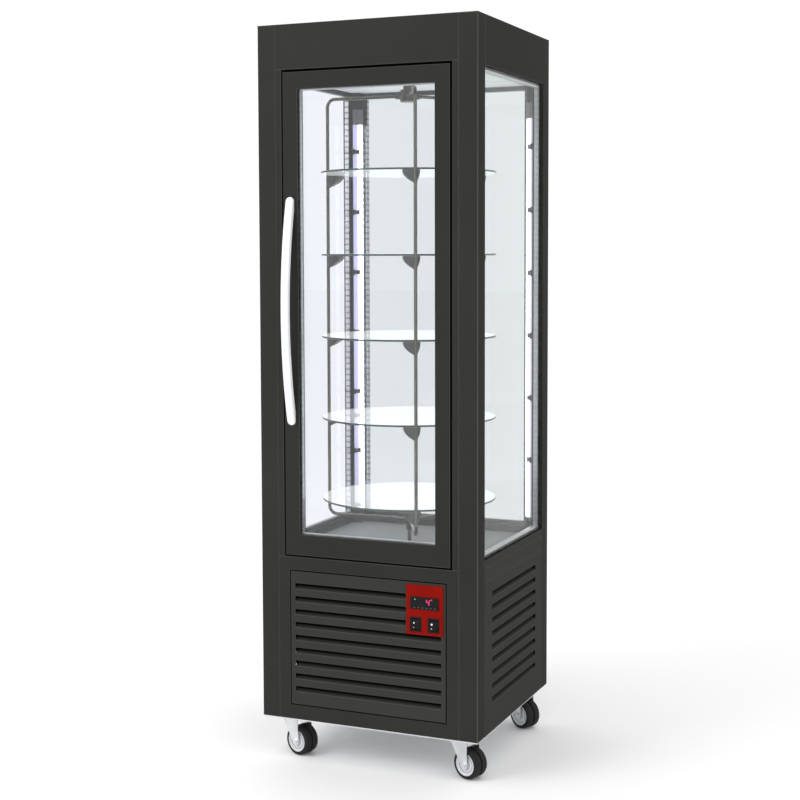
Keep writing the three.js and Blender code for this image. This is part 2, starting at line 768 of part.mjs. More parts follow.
function hingeStile() {
  const tube = alongZ(frameProfile(doorHalfWidth, apertureHalf), doorBottom, doorTop);
  const x0 = apertureHalf + glazingBite + sheet / 2;
  const x1 = doorHalfWidth - sheet / 2;
  const bushes = [doorBottom, doorTop - bushLength].map((z) => block(x0, x1, front + sheet / 2,
    front + doorDepth - sheet / 2, z, z + bushLength));
  const bore = roundBar('z', pivotRadius + runningClearance, doorBottom - overrun, doorTop + overrun,
    [pivotX, pivotY, 0], 16);
  return tube.add(joined(bushes)).subtract(bore);
}
addPiece('hinge_stile', hingeStile(), doorPaint);
const handleStile = frameProfile(-doorHalfWidth, -apertureHalf);
addPiece('handle_stile', alongZ(handleStile, doorBottom, doorTop), doorPaint);

function rail(outer, inner) {
  const shape = frameProfile(outer, inner);
  const bar = alongX(turnedProfile(shape), -apertureHalf + gap, apertureHalf - gap);
  return bar;
}

// The same section, drawn in (y, z) instead of (x, y)
function turnedProfile(shape) {
  const swap = (points) => points.map((p) => new THREE.Vector2(p.y, p.x));
  const turnedShape = new THREE.Shape(swap(shape.getPoints()));
  shape.holes.forEach((hole) => turnedShape.holes.push(new THREE.Path(swap(hole.getPoints()))));
  return turnedShape;
}
addPiece('top_rail', rail(doorTop, apertureTop), doorPaint);
addPiece('bottom_rail', rail(doorBottom, apertureBottom), doorPaint);

const doorUnitHalf = apertureHalf + glazingBite - gap;
const doorUnitLow = apertureBottom - glazingBite + gap;
const doorUnit = glassUnit(doorUnitHalf, doorUnitLow, apertureTop + glazingBite - gap);
addPiece('door_glass_unit', shifted(doorUnit, 0, front + (doorDepth - unitThickness) / 2, 0), glazing);

// Magnetic gasket ring on the back of the door
function gasket() {
  const outerX = doorHalfWidth - gasketInset;
  const outerZ0 = doorBottom + gasketInset;
  const outerZ1 = doorTop - gasketInset;
  const ring = roundedRectangle(-outerX, outerX, outerZ0, outerZ1, gasketInset / 2);
  const hole = roundedRectangle(-outerX + gasketWidth, outerX - gasketWidth, outerZ0 + gasketWidth,
    outerZ1 - gasketWidth, gasketInset / 4);
  ring.holes.push(new THREE.Path(hole.getPoints(3)));
  return alongY(ring, front + doorDepth + gap, lipFront - gap, 3);
}
addPiece('door_gasket', gasket(), rubber);

// Pivot brackets: an angle plate above and below the door with a pin into the hinge stile
function pivotBracket(seat, direction) {
  const x0 = pivotX - pivotPlateDepth;
  const x1 = doorHalfWidth + doorReveal - gap;
  const plateEnd = seat + direction * pivotPlateThickness;
  const [low, high] = [Math.min(seat, plateEnd), Math.max(seat, plateEnd)];
  const plate = block(x0, x1, front + sheet, front + doorDepth, low, high);
  const pinEnd = plateEnd + direction * (bushLength * 3 / 4);
  const [pinLow, pinHigh] = [Math.min(seat, pinEnd), Math.max(seat, pinEnd)];
  const pin = roundBar('z', pivotRadius, pinLow, pinHigh, [pivotX, pivotY, 0], 16);
  return plate.add(pin);
}
addPiece('lower_pivot_bracket', pivotBracket(baseTop + gap, 1), zinc);
addPiece('upper_pivot_bracket', pivotBracket(frontFasciaZ - gap, -1), zinc);

// Handle: a bowed strap with rounded ends that stands on the handle stile at its two feet
function handleArc(end, bulge, z0, z1) {
  const half = (z1 - z0) / 2;
  const radius = (half * half + bulge * bulge) / (2 * bulge);
  const middle = (z0 + z1) / 2;
  const spread = Math.asin(half / radius);
  const points = [];
  for (let k = 0; k <= 20; k += 1) {
    const angle = -spread + 2 * spread * k / 20;
    points.push([end - bulge + radius * (1 - Math.cos(angle)), middle + radius * Math.sin(angle)]);
  }
  return points;
}

function doorHandle() {
  const z0 = baseTop + handleRise;
  const z1 = z0 + handleLength;
  const foot = front - gap;
  const toe = handleThickness / 2;
  const outer = handleArc(foot - toe, handleReach - toe - gap, z0, z1);
  const inner = handleArc(foot, handleReach - handleThickness, z0 + handleFoot, z1 - handleFoot);
  const side = outline([...outer, [foot, z1], ...inner.reverse(), [foot, z0]]);
  const x = -(doorHalfWidth + apertureHalf) / 2;
  const half = handleWidth / 2;
  const strap = alongX(side, x - half, x + half);
  const face = roundedRectangle(x - half, x + half, z0, z1, half - gap);
  return strap.intersect(alongY(face, front - handleReach - overrun, front, 5));
}
addPiece('door_handle', doorHandle(), handlePlastic);

// Carousel: everything below is drawn about X zero and moved onto the carousel axis
const axisY = bodyShift;
const rodCircle = shelfRadius + rodClearance + rodRadius;
const rodTopZ = ceilingZ - rodTopDrop;
const rodBottomZ = deckTop + rodBottomRise;

// A path given as places with their directions, so that the rings of a bent rod sit close in its bends
class RodPath extends THREE.Curve {
  constructor(stations) {
    super();
    this.stations = stations;
  }

  getPointAt(u) {
    return this.stations[Math.round(u * (this.stations.length - 1))].place.clone();
  }

  getTangentAt(u) {
    return this.stations[Math.round(u * (this.stations.length - 1))].direction.clone();
  }
}

function bentRod() {
  const stations = [];
  const bend = (centreR, centreZ, start, end) => {
    for (let k = 0; k <= rodBendSteps; k += 1) {
      const angle = start + (end - start) * k / rodBendSteps;
      const x = centreR + rodBend * Math.cos(angle);
      const place = new THREE.Vector3(x, 0, centreZ + rodBend * Math.sin(angle));
      const direction = new THREE.Vector3(Math.sin(angle), 0, -Math.cos(angle));
      stations.push({ place, direction });
    }
  };
  const outward = new THREE.Vector3(1, 0, 0);
  stations.push({ place: new THREE.Vector3(hubRadius + gap, 0, rodTopZ), direction: outward });
  bend(rodCircle - rodBend, rodTopZ - rodBend, Math.PI / 2, 0);
  bend(rodCircle - rodBend, rodBottomZ + rodBend, 0, -Math.PI / 2);
  const lowerEnd = new THREE.Vector3(collarRadius + gap, 0, rodBottomZ);
  stations.push({ place: lowerEnd, direction: outward.clone().negate() });
  const section = new THREE.Shape();
  section.absarc(0, 0, rodRadius, 0, 2 * Math.PI, false);
  const geometry = new THREE.ExtrudeGeometry(section, {
    steps: stations.length - 1,
    extrudePath: new RodPath(stations),
    curveSegments: rodSectionSteps,
    bevelEnabled: false,
  });
  return solidOf(geometry);
}

// Shelf pad: a shield-shaped corbel clipped on the rod, wide at the glass and tapering down to the rod
function shelfPad(top) {
  const inner = rodCircle - padReach;
  const outer = rodCircle + rodRadius / 2;
  const shoulder = top - padHeight * padShoulderShare;
  const bottom = top - padHeight;
  const side = outline([
    [outer, bottom], [outer, top], [inner + padEdge, top], [inner, top - padEdge], [inner, shoulder],
    [rodCircle - rodRadius * 3 / 2, bottom],
  ]);
  const face = outline([
    [padEdge - padWidth / 2, top], [-padWidth / 2, top - padEdge], [-padWidth / 2, shoulder],
    [-padFootWidth / 2, bottom], [padFootWidth / 2, bottom],
    [padWidth / 2, shoulder], [padWidth / 2, top - padEdge], [padWidth / 2 - padEdge, top],
  ]);
  return alongY(side, -padWidth, padWidth).intersect(alongX(face, inner - overrun, outer + overrun));
}

const lowestShelfZ = deckTop + lowestShelfRise;
const shelfHeights = Array.from({ length: shelfCount }, (_, k) => lowestShelfZ + k * shelfPitch);

function shelfRod(angle) {
  const pads = shelfHeights.map((z) => shelfPad(z - shelfThickness / 2 - gap));
  const rod = bentRod().add(joined(pads));
  return shifted(turnedAboutZ(rod, THREE.MathUtils.degToRad(angle)), 0, axisY, 0);
}
rodAngles.forEach((angle, k) => addPiece(`carousel_rod_${k + 1}`, shelfRod(angle), steel));

shelfHeights.forEach((z, k) => {
  const half = shelfThickness / 2;
  const profile = [
    [0, -half], [shelfRadius - shelfEdge, -half], [shelfRadius, shelfEdge - half],
    [shelfRadius, half - shelfEdge], [shelfRadius - shelfEdge, half], [0, half],
  ];
  addPiece(`glass_shelf_${k + 1}`, turned(profile, 48, [0, axisY, z]), glazing);
});

const hubTopZ = rodTopZ + hubHeight / 2;
const hubBottomZ = rodTopZ - hubHeight / 2;

function upperHub() {
  const bore = bearingPinRadius + runningClearance;
  const boreEnd = hubTopZ - bearingPinLength;
  return turned([
    [0, hubBottomZ], [hubRadius - edge, hubBottomZ], [hubRadius, hubBottomZ + edge],
    [hubRadius, hubTopZ - edge], [hubRadius - edge, hubTopZ],
    [bore, hubTopZ], [bore, boreEnd], [0, boreEnd],
  ], 20, [0, axisY, 0]);
}
addPiece('upper_hub', upperHub(), steel);

function topBearing() {
  const bearingTop = ceilingZ - gap;
  const plateUnder = bearingTop - pivotPlateThickness;
  const half = bearingPlate / 2;
  const plate = block(-half, half, axisY - half, axisY + half, plateUnder, bearingTop);
  const boss = turned([
    [0, hubTopZ + gap - bearingPinLength], [bearingPinRadius - edge, hubTopZ + gap - bearingPinLength],
    [bearingPinRadius, hubTopZ + gap - bearingPinLength + edge], [bearingPinRadius, hubTopZ + gap],
    [bearingBossRadius - edge, hubTopZ + gap], [bearingBossRadius, hubTopZ + gap + edge],
    [bearingBossRadius, bearingTop - sheet], [0, bearingTop - sheet],
  ], 20, [0, axisY, 0]);
  return plate.add(boss);
}
addPiece('top_bearing', topBearing(), steel);

const collarTopZ = rodBottomZ + collarHeight / 2;
const collarBottomZ = rodBottomZ - collarHeight / 2;
const deckUnder = deckTop - deckThickness;
const socketDepth = gearmotorBossHeight + gearmotorHeight / 3;
const shaftEnd = deckUnder - gap + gearmotorBossHeight - socketDepth + gap;

function driveShaft() {
  return turned([
    [0, shaftEnd], [shaftRadius, shaftEnd], [shaftRadius, collarBottomZ - neckHeight],
    [neckRadius, collarBottomZ - neckHeight], [neckRadius, collarBottomZ],
    [collarRadius - edge, collarBottomZ], [collarRadius, collarBottomZ + edge],
    [collarRadius, collarTopZ - edge], [collarRadius - edge, collarTopZ], [0, collarTopZ],
  ], 18, [0, axisY, 0]);
}
addPiece('drive_shaft', driveShaft(), steel);

// Gearmotor: gearbox against the underside of the deck, with the motor can below it
function gearmotor() {
  const top = deckUnder - gap;
  const half = gearmotorWidth / 2;
  const box = alongZ(roundedRectangle(-half, half, axisY - half, axisY + half, gearmotorHanger),
    top - gearmotorHeight, top);
  const can = roundBar('z', gearmotorCanRadius, top - gearmotorHeight - gearmotorCanHeight,
    top - gearmotorHeight + overrun, [0, axisY, 0], 16);
  const bossTop = top + gearmotorBossHeight;
  const boss = roundBar('z', gearmotorBossRadius, top - overrun, bossTop, [0, axisY, 0], 20);
  const bore = roundBar('z', shaftRadius + runningClearance, top + gearmotorBossHeight - socketDepth,
    top + gearmotorBossHeight + overrun, [0, axisY, 0], 18);
  return joined([box, can, boss]).subtract(bore);
}
addPiece('carousel_gearmotor', gearmotor(), castMetal);

// Base tray with a castor plate and the fixed half of the swivel race under each corner
const castorPlaces = [
  ['front_left', -1, -1], ['front_right', 1, -1], ['rear_left', -1, 1], ['rear_right', 1, 1],
].map(([name, side, end], k) => ({
  name,
  x: side * (halfWidth - castorInsetX),
  y: end < 0 ? front + castorInsetY : back - castorInsetY,
  angle: THREE.MathUtils.degToRad(castorAngles[k]),
}));
const plateZ = floorZ - castorPlateThickness;
const raceZ = plateZ - racewayHeight / 2;

function baseTray() {
  const tray = block(-halfWidth + sheet, halfWidth - sheet, front + sheet, back - sheet, floorZ, trayTop);
  const feet = castorPlaces.map(({ x, y }) => {
    const half = castorPlate / 2;
    const plate = block(x - half, x + half, y - half, y + half, plateZ, floorZ + sheet / 2);
    return plate.add(roundBar('z', racewayRadius, raceZ, floorZ, [x, y, 0], 16));
  });
  return tray.add(joined(feet));
}
addPiece('base_tray', baseTray(), zinc);

// Castor fork, drawn with the swivel axis at the origin and the wheel trailing towards +X
function castorFork() {
  const crownTop = raceZ - gap;
  const crownUnder = crownTop - forkCrown;
  const legInner = wheelWidth / 2 + forkGap;
  const legOuter = legInner + forkWall;
  const rear = -forkTopWidth / 2;
  const leading = castorTrail + forkFootRadius * 2 / 3;
  const leg = new THREE.Shape();
  leg.moveTo(rear, crownTop);
  leg.lineTo(rear, crownUnder);
  leg.lineTo(rear + forkFootRadius, crownUnder - forkFootRadius);
  leg.absarc(castorTrail, wheelRadius, forkFootRadius, Math.PI, 2 * Math.PI, false);
  leg.lineTo(leading, crownTop);
  leg.closePath();
  const near = alongY(leg, -legOuter, -legInner, 4);
  const far = alongY(leg, legInner, legOuter, 4);
  const crown = block(rear, leading, -legOuter, legOuter, crownUnder, crownTop);
  const axle = roundBar('y', axleRadius, -legOuter, legOuter, [castorTrail, 0, wheelRadius], 12);
  const nutNear = roundBar('y', axleNutRadius, -legOuter - axleNutLength, -legOuter + sheet / 2,
    [castorTrail, 0, wheelRadius], 6);
  const nutFar = roundBar('y', axleNutRadius, legOuter - sheet / 2, legOuter + axleNutLength,
    [castorTrail, 0, wheelRadius], 6);
  return joined([crown, near, far, axle, nutNear, nutFar]);
}

// Twin-tread wheel with dished white hub faces
function castorWheel() {
  const w = wheelWidth / 2;
  const groove = treadGroove / 2;
  const bore = axleRadius + runningClearance;
  const shoulder = treadRound * (1 - Math.SQRT1_2);
  const half = [
    [bore, w - hubDish], [hubDiscRadius - hubDish, w - hubDish], [hubDiscRadius, w],
    [wheelRadius - treadRound, w], [wheelRadius - shoulder, w - shoulder], [wheelRadius, w - treadRound],
    [wheelRadius, groove], [wheelRadius - treadGroove, groove],
  ];
  const farHalf = half.map(([r, y]) => [r, -y]);
  const profile = [...farHalf, ...half.slice().reverse(), farHalf[0]];
  const wheel = placed(turned(profile, 20), new THREE.Matrix4().makeRotationX(Math.PI / 2));
  return shifted(wheel, castorTrail, 0, wheelRadius);
}

const fork = castorFork();
const wheel = castorWheel();
castorPlaces.forEach(({ name, x, y, angle }) => {
  addPiece(`${name}_castor_fork`, shifted(turnedAboutZ(fork, angle), x, y, 0), zinc);
  addPiece(`${name}_castor_wheel`, shifted(turnedAboutZ(wheel, angle), x, y, 0), wheelRubber);
});

// Hermetic compressor: a rolled dome with its weld flange, on a foot plate
function compressor() {
  const seat = trayTop + gap;
  const half = compressorFoot / 2;
  const foot = block(compressorX - half, compressorX + half, compressorY - half, compressorY + half,
    seat, seat + compressorFootThickness);
  const bottom = seat + compressorFootThickness / 2;
  const top = seat + compressorHeight;
  const seamZ = (bottom + top) / 2;
  const dome = compressorRadius / 2;
  const wall = compressorRadius - compressorFootThickness;
  const shell = [[0, bottom], [dome, bottom]];
  for (let k = 0; k <= 4; k += 1) {
    const angle = -Math.PI / 2 + (Math.PI / 2) * k / 4;
    shell.push([dome + (wall - dome) * Math.cos(angle), bottom + dome + dome * Math.sin(angle)]);
  }
  shell.splice(2, 1);
  shell.push([wall, seamZ - compressorFootThickness], [compressorRadius, seamZ - compressorFootThickness]);
  shell.push([compressorRadius, seamZ + compressorFootThickness], [wall, seamZ + compressorFootThickness]);
  for (let k = 0; k <= 4; k += 1) {
    const angle = (Math.PI / 2) * k / 4;
    shell.push([dome + (wall - dome) * Math.cos(angle), top - dome + dome * Math.sin(angle)]);
  }
  shell.push([0, top]);
  return foot.add(turned(shell, 16, [compressorX, compressorY, 0]));
}
addPiece('compressor', compressor(), castMetal);

// Condenser: fins on their tubes between two end plates, a shroud with a round mouth, and the arms
// that hold the fan motor behind it
const condenserBottom = trayTop + gap;
const condenserFront = front + condenserSetback;
const shroudFront = condenserFront + condenserDepth;
const shroudBack = shroudFront + shroudDepth;
const fanZ = condenserBottom + condenserHeight / 2;
const fanMotorFront = shroudBack + fanTipClearance;

function condenser() {
  const x0 = condenserX - condenserWidth / 2;
  const x1 = condenserX + condenserWidth / 2;
  const z1 = condenserBottom + condenserHeight;
  const parts = [
    block(x0, x1, condenserFront, shroudFront, condenserBottom, condenserBottom + finThickness),
    block(x0, x1, condenserFront, shroudFront, z1 - finThickness, z1),
  ];
  const pitch = (condenserWidth - finThickness) / (condenserFins - 1);
  for (let k = 0; k < condenserFins; k += 1) {
    const x = x0 + k * pitch;
    parts.push(block(x, x + finThickness, condenserFront, shroudFront, condenserBottom, z1));
  }
  for (const share of [1 / 4, 3 / 4]) {
    parts.push(roundBar('x', axleRadius, x0, x1,
      [0, (condenserFront + shroudFront) / 2, condenserBottom + share * condenserHeight], 6));
  }
  const mouth = fanRadius + fanTipClearance;
  const shroud = block(x0, x1, shroudFront - sheet / 2, shroudBack, condenserBottom, z1)
    .subtract(roundBar('y', mouth, shroudFront - overrun, shroudBack + overrun, [condenserX, 0, fanZ], 24));
  const motorBack = fanMotorFront + fanMotorDepth;
  const motor = roundBar('y', fanMotorRadius, fanMotorFront, motorBack, [condenserX, 0, fanZ], 16);
  const shaft = roundBar('y', axleRadius, fanMotorFront - fanHubDepth / 2, fanMotorFront + overrun,
    [condenserX, 0, fanZ], 8);
  const armY1 = fanMotorFront + fanArmWidth;
  const armZ0 = fanZ - fanArmWidth / 2;
  const armZ1 = fanZ + fanArmWidth / 2;
  const arm = block(x0, x1, fanMotorFront + sheet, armY1, armZ0, armZ1);
  const standoff = block(x0, x0 + fanArmWidth, shroudBack - sheet, armY1, armZ0, armZ1);
  const otherStandoff = block(x1 - fanArmWidth, x1, shroudBack - sheet, armY1, armZ0, armZ1);
  return joined([...parts, shroud, motor, shaft, arm, standoff, otherStandoff]);
}
addPiece('condenser', condenser(), finMetal);

function condenserFan() {
  const hubBack = fanMotorFront - gap;
  const hubFront = hubBack - fanHubDepth;
  const chord = fanHubDepth * 2;
  const blade = new THREE.BoxGeometry(fanRadius, chord, fanBladeThickness);
  blade.translate(fanRadius / 2, 0, 0);
  blade.rotateX(Math.PI / 2 - fanPitch);
  const bladeSolid = solidOf(blade);
  let rotor = roundBar('y', fanHubRadius, -fanHubDepth / 2, fanHubDepth / 2, [0, 0, 0], 20);
  for (let k = 0; k < fanBlades; k += 1) {
    rotor = rotor.add(placed(bladeSolid, new THREE.Matrix4().makeRotationY(2 * Math.PI * k / fanBlades)));
  }
  const rotorBore = roundBar('y', axleRadius + runningClearance, 0, fanHubDepth, [0, 0, 0], 12);
  return shifted(rotor.subtract(rotorBore), condenserX, (hubFront + hubBack) / 2, fanZ);
}
addPiece('condenser_fan', condenserFan(), blackPlastic);

// Evaporator coil on top of the ceiling panel
function evaporator() {
  const seat = ceilingZ + ceilingThickness + gap;
  const half = evaporatorWidth / 2;
  const y0 = axisY - evaporatorDepth / 2;
  const y1 = axisY + evaporatorDepth / 2;
  const parts = [block(-half, half, y0, y1, seat, seat + finThickness)];
  const pitch = (evaporatorWidth - finThickness) / (evaporatorFins - 1);
  for (let k = 0; k < evaporatorFins; k += 1) {
    const x = -half + k * pitch;
    parts.push(block(x, x + finThickness, y0, y1, seat, seat + evaporatorHeight));
  }
  for (const share of [1 / 4, 3 / 4]) {
    parts.push(roundBar('x', axleRadius, -half, half,
      [0, y0 + share * evaporatorDepth, seat + evaporatorHeight / 2], 6));
  }
  return joined(parts);
}
addPiece('evaporator_coil', evaporator(), finMetal);

export default cabinet;
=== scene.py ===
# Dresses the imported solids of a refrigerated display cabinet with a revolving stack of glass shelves.
import json
import math

import bmesh
import bpy
from mathutils import Matrix, Vector


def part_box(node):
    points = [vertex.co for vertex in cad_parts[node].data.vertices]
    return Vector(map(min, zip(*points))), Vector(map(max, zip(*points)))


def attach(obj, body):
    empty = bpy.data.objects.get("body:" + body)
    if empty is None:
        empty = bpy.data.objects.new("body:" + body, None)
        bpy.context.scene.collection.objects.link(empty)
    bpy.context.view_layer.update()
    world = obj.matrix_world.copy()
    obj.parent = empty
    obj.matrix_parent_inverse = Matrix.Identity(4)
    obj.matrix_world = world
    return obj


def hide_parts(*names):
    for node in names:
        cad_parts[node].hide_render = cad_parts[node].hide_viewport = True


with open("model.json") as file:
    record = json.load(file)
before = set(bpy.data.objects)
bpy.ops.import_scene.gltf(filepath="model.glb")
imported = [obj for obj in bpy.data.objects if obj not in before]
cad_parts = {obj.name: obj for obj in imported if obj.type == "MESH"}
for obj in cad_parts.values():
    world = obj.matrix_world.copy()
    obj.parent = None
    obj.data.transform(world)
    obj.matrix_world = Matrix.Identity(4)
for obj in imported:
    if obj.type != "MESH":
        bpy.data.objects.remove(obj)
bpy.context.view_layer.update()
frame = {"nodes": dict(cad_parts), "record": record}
nodes = frame["nodes"]
bodyOf = {node: body for body, members in frame["record"]["behaviour"]["bodies"].items() for node in members}
print("frame loaded:", len(nodes), "solids")
mm = 0.001
weld = 0.00001  # metres
hair = 0.001  # millimetres
upward = Vector((0, 0, 1))

# the view of the photograph, in metres and radians; lens and sensor in millimetres
viewpoint = {
    "place": (1.55765, -3.66298, 1.32737),
    "yaw": -0.40617,
    "pitch": 0.06738,
    "roll": -0.00289,
    "lens": 67.374,
    "sensor": 36,
    "riseShift": -0.0625,
    "farthest": 60,
}


def makeCamera():
    yaw, pitch, roll = viewpoint["yaw"], viewpoint["pitch"], viewpoint["roll"]
    ahead = Vector((math.sin(yaw) * math.cos(pitch), math.cos(yaw) * math.cos(pitch), -math.sin(pitch)))
    level = Vector((math.cos(yaw), -math.sin(yaw), 0))
    right = math.cos(roll) * level + math.sin(roll) * level.cross(ahead)
    up = right.cross(ahead)
    data = bpy.data.cameras.new("viewpoint")
    data.lens = viewpoint["lens"]
    data.sensor_width = viewpoint["sensor"]
    data.shift_y = viewpoint["riseShift"]
    data.clip_end = viewpoint["farthest"]
    camera = bpy.data.objects.new("viewpoint", data)
    bpy.context.scene.collection.objects.link(camera)
    turn = Matrix((right, up, -ahead)).transposed().to_4x4()
    camera.matrix_world = Matrix.Translation(viewpoint["place"]) @ turn
    bpy.context.scene.camera = camera


makeCamera()


class Wire:
    # one output socket; sums on it add Math nodes to its own finish
    def __init__(self, finish, socket):
        self.finish, self.socket = finish, socket

    def math(self, operation, first, second):
        return self.finish.math(operation, first, second)

    def __add__(self, other):
        return self.math("ADD", self, other)

    def __radd__(self, other):
        return self.math("ADD", other, self)

    def __mul__(self, other):
        return self.math("MULTIPLY", self, other)

    def __rmul__(self, other):
        return self.math("MULTIPLY", other, self)

    def __abs__(self):
        return self.math("ABSOLUTE", self, 0.0)

    def __gt__(self, other):
        return self.math("GREATER_THAN", self, other)

    def __lt__(self, other):
        return self.math("LESS_THAN", self, other)


class Finish:
    # a material that starts with one Principled shader
    def __init__(self, name, **sockets):
        self.material = bpy.data.materials.new(name)
        self.material.use_nodes = True
        self.tree = self.material.node_tree
        self.shader = self.tree.nodes["Principled BSDF"]
        for title, value in sockets.items():
            self.put(self.shader, title.replace("_", " "), value)

    def put(self, node, key, value):
        if isinstance(value, Wire):
            self.tree.links.new(value.socket, node.inputs[key])
        elif isinstance(value, tuple) and len(value) == 3 and node.inputs[key].type == "RGBA":
            node.inputs[key].default_value = (*value, 1)
        else:
            node.inputs[key].default_value = value

    def node(self, kind, settings=None, values=None, output=0):
        made = self.tree.nodes.new(kind)
        for title, value in (settings or {}).items():
            setattr(made, title, value)
        for key, value in (values or {}).items():
            self.put(made, key, value)
        return Wire(self, made.outputs[output])

    def math(self, operation, first, second=0.0):
        return self.node("ShaderNodeMath", {"operation": operation}, {0: first, 1: second})

    def place(self, scale=(1, 1, 1)):
        spot = self.node("ShaderNodeTexCoord", output="Object")
        return self.node("ShaderNodeMapping", {}, {"Vector": spot, "Scale": scale})

    def axes(self):
        split = self.tree.nodes.new("ShaderNodeSeparateXYZ")
        self.put(split, 0, self.node("ShaderNodeTexCoord", output="Object"))
        return [Wire(self, output) for output in split.outputs]

    def noise(self, scale, detail, roughness, place=None):
        values = {"Vector": place or self.place(), "Scale": scale, "Detail": detail, "Roughness": roughness}
        return self.node("ShaderNodeTexNoise", {}, values)

    def mix(self, factor, first, second):
        return self.node("ShaderNodeMix", {"data_type": "RGBA"}, {0: factor, 6: first, 7: second}, 2)

    def spread(self, value, low, high, start=0.3, end=0.7):
        settings = {"clamp": True}
        return self.node("ShaderNodeMapRange", settings, {0: value, 1: start, 2: end, 3: low, 4: high})

    def bump(self, height, strength, distance):
        values = {"Height": height, "Strength": strength, "Distance": distance}
        return self.node("ShaderNodeBump", {}, values)

    def feed(self, **sockets):
        for title, value in sockets.items():
            self.put(self.shader, title.replace("_", " "), value)


finishes = {}


def finish(name, **sockets):
    finishes[name] = Finish(name, **sockets)
    return finishes[name]


# powder-coated sheet: near-black grey, satin, with a fine orange peel
# a noise is given as scale, detail and roughness, a relief as strength and distance in metres
coat = {
    "body": (0.0345, 0.0349, 0.0321),
    "door": (0.032, 0.0324, 0.03),
    "deep": (0.029, 0.0293, 0.0269),
    "base": (0.0435, 0.044, 0.0405),
    "baseDeep": (0.0375, 0.038, 0.0348),
    # a paler coat for rounded edges: a painted highlight
    "edge": (0.078, 0.079, 0.075),
    # near-black painted shade deep inside the louvres
    "recessShade": (0.004, 0.004, 0.0038),
    "rough": 0.4,
    "doorRough": 0.36,
    "smoother": 0.04,
    "rougher": 0.05,
    "fineRough": 0.06,
    "gloss": 0.004,
    "broad": (2.6, 4, 0.55),
    "fine": (420, 2, 0.6),
    "peel": (1500, 2, 0.5),
    "relief": (0.12, 0.0002),
    # where the painted shade of the louvres falls: axis, and two distances in metres from the middle
    "frontRecessShade": (1, 0.2599, 0.2515),
    "sideRecessShade": (0, 0.2999, 0.2915),
}


def makeCoat(name, colour, dark, rough, recessShade=None):
    # the last argument gives an axis, and two distances in metres from the middle, between which the coat
    # darkens into a louvre: painted shade of its hollow
    made = finish(name, Specular_IOR_Level=coat["gloss"])
    broad = made.noise(*coat["broad"])
    fine = made.noise(*coat["fine"])
    peel = made.noise(*coat["peel"])
    tone = made.mix(made.spread(broad, 0.0, 1.0), dark, colour)
    if recessShade:
        axis, outer, inner = recessShade
        tone = made.mix(made.spread(abs(made.axes()[axis]), 0.0, 1.0, outer, inner), tone, coat["recessShade"])
    made.feed(Base_Color=tone)
    satin = made.spread(broad, rough - coat["smoother"], rough + coat["rougher"])
    made.feed(Roughness=satin + coat["fineRough"] * fine)
    made.feed(Normal=made.bump(peel, *coat["relief"]))


makeCoat("bodyCoat", coat["body"], coat["deep"], coat["rough"])
makeCoat("doorCoat", coat["door"], coat["deep"], coat["doorRough"])
# the paler coat is a painted highlight for rounded edges
makeCoat("edgeHighlightCoat", coat["edge"], coat["edge"], coat["rough"])
# the louvre panels darken to a painted shade deep in their louvres
makeCoat("frontLouvreShadedCoat", coat["base"], coat["baseDeep"], coat["rough"], coat["frontRecessShade"])
makeCoat("sideLouvreShadedCoat", coat["base"], coat["baseDeep"], coat["rough"], coat["sideRecessShade"])

# brushed steel of the chamber floor, satin rods, channel of the light bars
# colour, dark streaks, how close the streaks lie along each axis, roughness, share of metal
metals = {
    "brushed": ((0.27, 0.278, 0.272), (0.24, 0.248, 0.242), (6, 700, 6), 0.5, 0.2),
    "satinRod": ((0.17, 0.165, 0.125), (0.09, 0.087, 0.065), (500, 500, 12), 0.2, 1.0),
    "ledChannel": ((0.26, 0.26, 0.27), (0.07, 0.07, 0.075), (240, 240, 3), 0.34, 1.0),
}
brush = {"gloss": 0.5, "streaks": (1, 4, 0.6), "smudge": (5, 3, 0.5), "smoother": 0.05, "rougher": 0.07,
         "streakRough": 0.06, "relief": (0.06, 0.0001)}


def makeBrushed(name, colour, dark, grain, rough, metal):
    made = finish(name, Metallic=metal, Specular_IOR_Level=brush["gloss"] * metal)
    streaks = made.noise(*brush["streaks"], made.place(grain))
    smudge = made.noise(*brush["smudge"])
    made.feed(Base_Color=made.mix(made.spread(streaks, 0.0, 1.0), dark, colour))
    satin = made.spread(smudge, rough - brush["smoother"], rough + brush["rougher"])
    made.feed(Roughness=satin + brush["streakRough"] * streaks)
    made.feed(Normal=made.bump(streaks, *brush["relief"]))


for title, values in metals.items():
    makeBrushed(title, *values)

# spacer bars of the glass units, with a row of dark holes; the pitch is in metres
spacer = {"bright": (0.54, 0.55, 0.56), "dull": (0.42, 0.43, 0.44), "hole": (0.22, 0.22, 0.23),
          "pitch": 0.0163, "share": 0.55, "cloud": (60, 3, 0.5), "rough": (0.33, 0.45)}


def makeSpacer(name, hole):
    made = finish(name, Metallic=1.0)
    holes = made.math("SINE", made.axes()[2] * (2 * math.pi / spacer["pitch"])) > spacer["share"]
    cloud = made.noise(*spacer["cloud"])
    made.feed(Base_Color=made.mix(holes, made.mix(cloud, spacer["dull"], spacer["bright"]), hole))
    made.feed(Roughness=made.spread(cloud, *spacer["rough"]))


makeSpacer("spacerBar", spacer["bright"])
makeSpacer("spacerHoles", spacer["hole"])

zinc = {"bright": (0.78, 0.79, 0.81), "dull": (0.6, 0.61, 0.63), "spangle": 260, "cloud": (24, 3, 0.5),
        "rough": 0.27, "cloudRough": 0.12, "spangleRough": 0.03, "relief": (0.04, 0.0002)}


def makeZinc():
    made = finish("zincPlate", Metallic=1.0)
    cells = made.node("ShaderNodeTexVoronoi", {}, {"Vector": made.place(), "Scale": zinc["spangle"]})
    cloud = made.noise(*zinc["cloud"])
    made.feed(Base_Color=made.mix(made.spread(cloud, 0.0, 1.0), zinc["dull"], zinc["bright"]))
    made.feed(Roughness=zinc["rough"] + zinc["cloudRough"] * cloud + zinc["spangleRough"] * cells)
    made.feed(Normal=made.bump(cells, *zinc["relief"]))


makeZinc()

